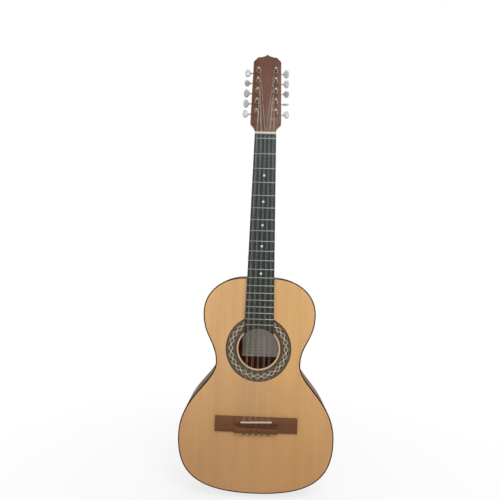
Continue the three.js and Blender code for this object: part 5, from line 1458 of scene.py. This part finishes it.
def gear_layer(depth, twist, tip):
    flank = (GEAR_ROOT_RADIUS + tip) / 2
    mid_width = (GEAR_ROOT_WIDTH + GEAR_TIP_WIDTH) / 2 + GEAR_FLANK_SWELL
    rise = [(GEAR_ROOT_RADIUS, -GEAR_ROOT_WIDTH), (flank, -mid_width), (tip, -GEAR_TIP_WIDTH)]
    points = []
    for tooth in range(GEAR_TEETH):
        middle = QUARTER + (tooth + 0.5) * TURN / GEAR_TEETH + twist
        for radius, width in rise + [(radius, -width) for radius, width in reversed(rise)]:
            angle = middle + width / 2 / radius
            points.append(Vector((radius * math.cos(angle), depth, radius * math.sin(angle))))
    return points


def shell_of(made):
    """A made object's shell; the object is used up."""
    mesh = made.data
    shell = [v.co.copy() for v in mesh.vertices], [tuple(p.vertices) for p in mesh.polygons]
    bpy.data.objects.remove(made)
    return shell


def post_shells():
    """A post with its string hole, and its gear with the slotted screw that holds it."""
    stations = POST_TIP_PROFILE + [(SHAFT_DEPTH, POST_RADIUS), (SHAFT_DEPTH, 0)]
    post = object_of("post", turned(stations))
    bore = round_bar(STRING_HOLE_REACH, STRING_HOLE_RADIUS, STRING_HOLE_SIDES)
    across = Matrix.Rotation(STRING_HOLE_TURN, 4, "Y") @ Matrix.Rotation(QUARTER, 4, "Z")
    place = Matrix.Translation((0, -POST_RISE + STRING_HOLE_DROP, 0))
    joined_with(post, "DIFFERENCE", object_of("bore", moved_shell(bore, place @ across)))
    twist = WORM_LEAD / (TURN * WORM_PITCH_RADIUS) * GEAR_WIDTH / 2 / GEAR_PITCH_RADIUS
    levels = ((-1, GEAR_BEVEL), (-GEAR_BEVEL_SHARE, 0), (0, 0), (GEAR_BEVEL_SHARE, 0),
              (1, GEAR_BEVEL))
    layers = [gear_layer(SHAFT_DEPTH + share * GEAR_WIDTH / 2, -twist * share,
                         GEAR_TIP_RADIUS - bevel) for share, bevel in levels]
    face = SHAFT_DEPTH + GEAR_WIDTH / 2
    stations = [(SHAFT_DEPTH, 0), (SHAFT_DEPTH, GEAR_SCREW_RADIUS)]
    stations += [(face + up * GEAR_SCREW_HEIGHT, out * GEAR_SCREW_RADIUS)
                 for up, out in GEAR_SCREW_SHARES]
    screw = object_of("screw", turned(stations, GEAR_SCREW_SIDES))
    reach = GEAR_SCREW_RADIUS + OVERCUT
    slot = box_shell(-reach, reach, face + GEAR_SLOT_FLOOR, face + GEAR_SCREW_HEIGHT + OVERCUT,
                     -GEAR_SLOT_HALF_WIDTH, GEAR_SLOT_HALF_WIDTH)
    joined_with(screw, "DIFFERENCE", object_of("slot", slot))
    return [shell_of(post)], [skin(layers), shell_of(screw)]


def plate_shells(side):
    """A strip plate with its post holes and a bored lug on each side of every worm."""
    places = [(row - (MACHINES_PER_SIDE - 1) / 2) * MACHINE_PITCH
              for row in range(MACHINES_PER_SIDE)]
    tip = places[-1] + PLATE_END_REACH
    outline = []
    for x, z, first in ((-PLATE_INNER_REACH, -tip, 2), (PLATE_OUTER_REACH, -tip, 3),
                        (PLATE_OUTER_REACH, tip, 0), (-PLATE_INNER_REACH, tip, 1)):
        centre = (x - math.copysign(PLATE_CORNER, x), z - math.copysign(PLATE_CORNER, z))
        angles = even_steps(QUARTER * (first + 1), PLATE_CORNER_STEPS, QUARTER * first)
        outline += oval_points(PLATE_CORNER, PLATE_CORNER, angles, centre)
    outline = outline if side > 0 else mirrored(outline)
    holes = [circle_points(POST_BORE, POST_BORE_SIDES, (0, place)) for place in places]
    shells = [slab([outline] + holes, HEAD_THICKNESS + SEAT_GAP, PLATE_BACK, rim=PLATE_ROUND)]
    reach, foot = LUG_BORE + LUG_WALL, PLATE_BACK - SHAFT_DEPTH - PLATE_THICKNESS / 2
    arch = oval_points(reach, reach, even_steps(math.pi, LUG_ARCH_STEPS))
    loop = [Vector((reach, foot))] + arch + [Vector((-reach, foot))]
    lug = slab([loop, circle_points(LUG_BORE, LUG_BORE_SIDES)],
               -LUG_THICKNESS / 2, LUG_THICKNESS / 2, rim=LUG_ROUND)
    lug = moved_shell(lug, Matrix(((0, 1, 0), (0, 0, 1), (1, 0, 0))).to_4x4())
    from_worm = WORM_HALF_LENGTH + LUG_GAP + LUG_THICKNESS / 2
    for place in places:
        for end in (-1, 1):
            seat = Matrix.Translation((end * from_worm, SHAFT_DEPTH, place + WORM_RISE))
            shells.append(moved_shell(lug, seat))
    return shells


def screw_copy(radius, height):
    """A domed screw head with a cross slot, facing +Y."""
    stations = [(up * height, out * radius) for up, out in SCREW_PROFILE_SHARES]
    head = object_of("screw_head", turned(stations, SCREW_SIDES))
    cross = (radius * SCREW_SLOT_LONG, radius * SCREW_SLOT_WIDE)
    slots = [object_of("slot", box_shell(-a, a, height * SCREW_SLOT_FLOOR, height * 2, -b, b))
             for a, b in (cross, cross[::-1])]
    return joined_with(head, "DIFFERENCE", *slots)


def make_machines():
    moved = lambda shells, matrix: [moved_shell(shell, matrix) for shell in shells]
    post, gear = post_shells()
    screws, bushes = [], []
    for side_name, side in (("bass", -1), ("treble", 1)):
        for row in range(MACHINES_PER_SIDE):
            machine = f"{side_name}_{row + 1}"
            key_name, post_name = "key_" + machine, "post_" + machine
            at_key, at_post = row_matrix(machine, "key"), row_matrix(machine, "post")
            grip = [button_shell(side, BUTTON_TURNS[side_name][row])]
            for body, ending, shells, matrix, surface, slot, sharp in (
                    (key_name, "_worm", worm_shells(side), at_key, nickel, "steel", 40),
                    (key_name, "_button", grip, at_key, pearl, "pearl", 70),
                    (post_name, "_shaft", post, at_post, worn_nickel, "steel", 32),
                    (post_name, "_gear", gear, at_post, gear_brass, "steel", 32)):
                piece(body + ending, moved(shells, matrix), surface, slot, body, (body,), sharp)
            bushes.append(at_post)
        middle = row_matrix(f"{side_name}_{MACHINES_PER_SIDE // 2 + 1}", "post")
        piece(f"machine_plate_{side_name}", moved(plate_shells(side), middle), nickel, "steel",
              replaces=(f"tuner_plate_{side_name}",))
        for row in range(MACHINES_PER_SIDE + 1):
            along = (row - MACHINES_PER_SIDE / 2) * MACHINE_PITCH
            if row in (0, MACHINES_PER_SIDE):
                place = (0, PLATE_BACK, along - math.copysign(PLATE_SCREW_END_INSET, along))
            else:
                place = (-side * PLATE_SCREW_INSET, PLATE_BACK, along)
            screws.append(middle @ Matrix.Translation(place))
    screw = screw_copy(PLATE_SCREW_RADIUS, PLATE_SCREW_HEIGHT)
    set_out("machine_screws", screw, screws, nickel, "steel")
    bush = object_of("bush", turned(BUSHING_PROFILE, BUSHING_SIDES, closed=True))
    set_out("post_bushings", bush, bushes, worn_nickel, "steel")


# Preamp: its frame has +X along the rib's outward normal, +Z up the rib,
# and its origin on the flange's face
def preamp_matrix():
    out, deep = Vector(joint_of("battery_drawer_slide")["axis"]), Vector((0, -1, 0))
    turn = Matrix((out, deep, out.cross(deep))).transposed()
    inward = turn.transposed()
    points = [inward @ v.co for v in frame["nodes"]["preamp_housing"].data.vertices]
    low, high = (Vector([end(p[i] for p in points) for i in range(3)]) for end in (min, max))
    middle = (low + high) / 2
    made = turn.to_4x4()
    made.translation = turn @ Vector((high.x, middle.y, middle.z))
    return made, high - low


preamp_seat, preamp_size = preamp_matrix()
CORE_HALF_WIDTH = preamp_size.y / 2 - FLANGE_LIP
CORE_HALF_LENGTH = preamp_size.z / 2 - FLANGE_LIP


def make_preamp():
    refined("preamp_housing", "preamp_case", black_plastic, "plastic", 0.5 * MM)
    ticks = []
    for i, name in enumerate(SLIDER_NAMES):
        refined(name, name + "_cap", knob_plastic, "knob", 0.35 * MM, name)
        along = -CORE_HALF_LENGTH + SLIDER_PITCH * (i + 0.5)
        for shift in [(tick - (TICKS - 1) / 2) * TICK_PITCH for tick in range(TICKS)]:
            ticks += [preamp_seat @ Matrix.Translation((0, shift, along + side * TICK_ASIDE))
                      for side in (-1, 1)]
    line = box_shell(-TICK_SINK, TICK_PROUD, -TICK_HALF_WIDTH, TICK_HALF_WIDTH,
                     -TICK_HALF_LENGTH, TICK_HALF_LENGTH)
    set_out("slider_scales", object_of("tick", line), ticks, print_ink, "knob")
    wide, high = (preamp_size[axis] / 2 - FLANGE_SCREW_INSET for axis in (1, 2))
    face_out = Matrix.Rotation(-QUARTER, 4, "Z")
    corners = [preamp_seat @ Matrix.Translation((0, y, z)) @ face_out
               for y in (-wide, wide) for z in (-high, high)]
    screw = screw_copy(FLANGE_SCREW_RADIUS, FLANGE_SCREW_HEIGHT)
    set_out("preamp_screws", screw, corners, nickel, "steel")
    refined("battery_drawer", "battery_tray", black_plastic, "plastic", 0.4 * MM, "battery_drawer")
    refined("battery", "battery_cell", battery_wrap, "cell", 1.2 * MM, "battery_drawer", segments=3)


# Jack, wiring and inner parts
def make_jack():
    jack = turned(JACK_PROFILE, JACK_SIDES, closed=True)
    jack = moved_shell(jack, Matrix.Rotation(QUARTER, 4, "X"))
    piece("jack_body", [jack], nickel, "steel", replaces=("end_pin_jack",))


def smooth_route(points):
    """A centripetal curve through the points."""
    def between(a, b, start, end, t):
        return a * ((end - t) / (end - start)) + b * ((t - start) / (end - start))

    ends = [points[0] * 2 - points[1]] + points + [points[-1] * 2 - points[-2]]
    made = [points[0]]
    for p0, p1, p2, p3 in zip(ends, ends[1:], ends[2:], ends[3:]):
        times = [0.0]
        for a, b in ((p0, p1), (p1, p2), (p2, p3)):
            times.append(times[-1] + math.sqrt(max((b - a).length, SEAM)))
        t0, t1, t2, t3 = times
        for t in even_steps(t2, ROUTE_STEPS, t1)[1:]:
            a1, a2 = between(p0, p1, t0, t1, t), between(p1, p2, t1, t2, t)
            a3 = between(p2, p3, t2, t3, t)
            made.append(between(between(a1, a2, t0, t2, t), between(a2, a3, t1, t3, t), t1, t2, t))
    return made


def make_loom():
    """The plug inside the preamp, the lead from the saddle's strip and the lead to the jack."""
    middle = -CORE_HALF_LENGTH + SLIDER_PITCH * 2
    plug = box_shell(-PLUG_DEPTH - PLUG_THICKNESS, -PLUG_DEPTH, -PLUG_HALF_LENGTH, PLUG_HALF_LENGTH,
                     middle - PLUG_HALF_WIDTH, middle + PLUG_HALF_WIDTH)
    piece("loom_plug", [moved_shell(plug, preamp_seat)], black_plastic, "plastic",
          replaces=("wiring_loom",), bevel=0.5 * MM)
    at_plug = lambda y, deep: preamp_seat @ Vector((-PLUG_DEPTH - deep, y, middle))
    inside = lambda shares: [Vector((x * LOWER_HALF_WIDTH, y * TAIL_DEPTH, z * BODY_LENGTH))
                             for x, y, z in shares]
    hole_x = -SADDLE_HALF_LENGTH + LEAD_HOLE_RADIUS + SEAT_GAP
    pickup = [Vector((hole_x, FRONT - SADDLE_SLOT_FLOOR + SEAT_GAP, SADDLE_PLACE)),
              Vector((hole_x, TOP_INSIDE + LEAD_RISE, SADDLE_PLACE))] + inside(PICKUP_LEAD_SHARES)
    pickup += [at_plug(-LEAD_ASIDE, LEAD_BEND), at_plug(-LEAD_ASIDE, LEAD_START)]
    output = [at_plug(LEAD_ASIDE, LEAD_START), at_plug(LEAD_ASIDE, LEAD_BEND)]
    output += inside(OUTPUT_LEAD_SHARES) + [Vector((0, 0, JACK_LEAD_END))]
    for name, route in (("pickup_lead", pickup), ("output_lead", output)):
        wire(name, smooth_route(route), LEAD_RADIUS, LEAD_SIDES, lead_skin, "plastic",
             "wiring_loom")


def dress_carried():
    """The CAD nodes that stay as they are get their materials."""
    for node, surface in (("neck_block", block_wood), ("end_block", block_wood),
                          ("bridge_plate", brace_wood), ("neck_rod", nickel)):
        mesh = frame["nodes"][node].data
        mesh.materials.clear()
        mesh.materials.append(surface)


# Camera, lights, floor
def make_camera():
    pan, tilt, roll = (math.radians(angle) for angle in CAMERA_ANGLES)
    ahead = Vector((math.sin(pan) * math.cos(tilt), math.cos(pan) * math.cos(tilt), math.sin(tilt)))
    level = Vector((math.cos(pan), -math.sin(pan), 0))
    top = level.cross(ahead)
    right = level * math.cos(roll) + top * math.sin(roll)
    up = top * math.cos(roll) - level * math.sin(roll)
    camera = linked("camera", bpy.data.cameras.new("camera"))
    camera.data.sensor_width = SENSOR_WIDTH
    camera.data.lens = FOCAL_SHARE * SENSOR_WIDTH
    camera.data.clip_start, camera.data.clip_end = CAMERA_CLIP
    made = Matrix((right, up, -ahead)).transposed().to_4x4()
    made.translation = Vector(CAMERA_PLACE) * MM
    camera.matrix_world = made
    bpy.context.scene.camera = camera


def area_light(name, place, size, power):
    data = bpy.data.lights.new(name, "AREA")
    data.shape, data.size, data.energy = "DISK", size, power
    aim = (Vector(LAMP_TARGET) - Vector(place)).to_track_quat("-Z", "Y").to_matrix().to_4x4()
    linked(name, data).matrix_world = Matrix.Translation(place) @ aim


def seen_rays(tree):
    """1 for what the camera sees, straight or in gloss or glass."""
    rays = add(tree, "ShaderNodeLightPath")
    through = worked("MAXIMUM", number(rays, "Is Glossy Ray"), number(rays, "Is Transmission Ray"))
    return worked("MAXIMUM", number(rays, "Is Camera Ray"), through)


def emptied(owner):
    """The node tree of a new world or material, without its first nodes."""
    owner.use_nodes = True
    owner.node_tree.nodes.clear()
    return owner.node_tree


def make_world():
    """White for what the camera sees, and a dimmer light on the object."""
    world = bpy.data.worlds.new("studio")
    bpy.context.scene.world = world
    tree = emptied(world)
    strength = worked("ADD", AMBIENT, seen_rays(tree) * (1 - AMBIENT))
    back = add(tree, "ShaderNodeBackground", {"Color": (1, 1, 1, 1), "Strength": strength})
    add(tree, "ShaderNodeOutputWorld", {"Surface": back.outputs[0]})


def floor_material():
    """White where it is seen, but matte near the object, so that it keeps a shadow."""
    pale = bpy.data.materials.new("pale_floor")
    tree = emptied(pale)
    away = length_of(object_place(tree))
    share = seen_rays(tree)
    share *= ranged(away, FLOOR_SHADOW_NEAR, FLOOR_SHADOW_FAR, foot=FLOOR_GLOW_NEAR)
    glow = add(tree, "ShaderNodeEmission", {"Color": (1, 1, 1, 1), "Strength": 1.0}).outputs[0]
    matte = add(tree, "ShaderNodeBsdfDiffuse", {"Color": FLOOR_COLOUR}).outputs[0]
    mixed = add(tree, "ShaderNodeMixShader", {0: share, 1: matte, 2: glow})
    add(tree, "ShaderNodeOutputMaterial", {"Surface": mixed.outputs[0]})
    return pale


def make_floor():
    far, height = FLOOR_REACH, cad_box[0].z - FLOOR_GAP
    mesh = bpy.data.meshes.new("floor")
    corners = [(x, y, height) for x, y in ((-far, -far), (far, -far), (far, far), (-far, far))]
    mesh.from_pydata(corners, [], [(0, 1, 2, 3)])
    mesh.materials.append(floor_material())
    floor = linked("floor", mesh)


bpy.context.scene.view_settings.view_transform = "Standard"
make_camera()
make_world()
make_floor()
for lamp in LAMPS:
    area_light(*lamp)
make_body()
make_seam_strips()
make_rosette_chain()
make_ribs()
make_bindings()
make_linings()
make_label()
make_neck()
make_fretboard()
refined("nut", "nut_bone", bone, "bone", 0.25 * MM)
make_bridge()
make_strings()
make_machines()
make_preamp()
make_jack()
make_loom()
dress_carried()
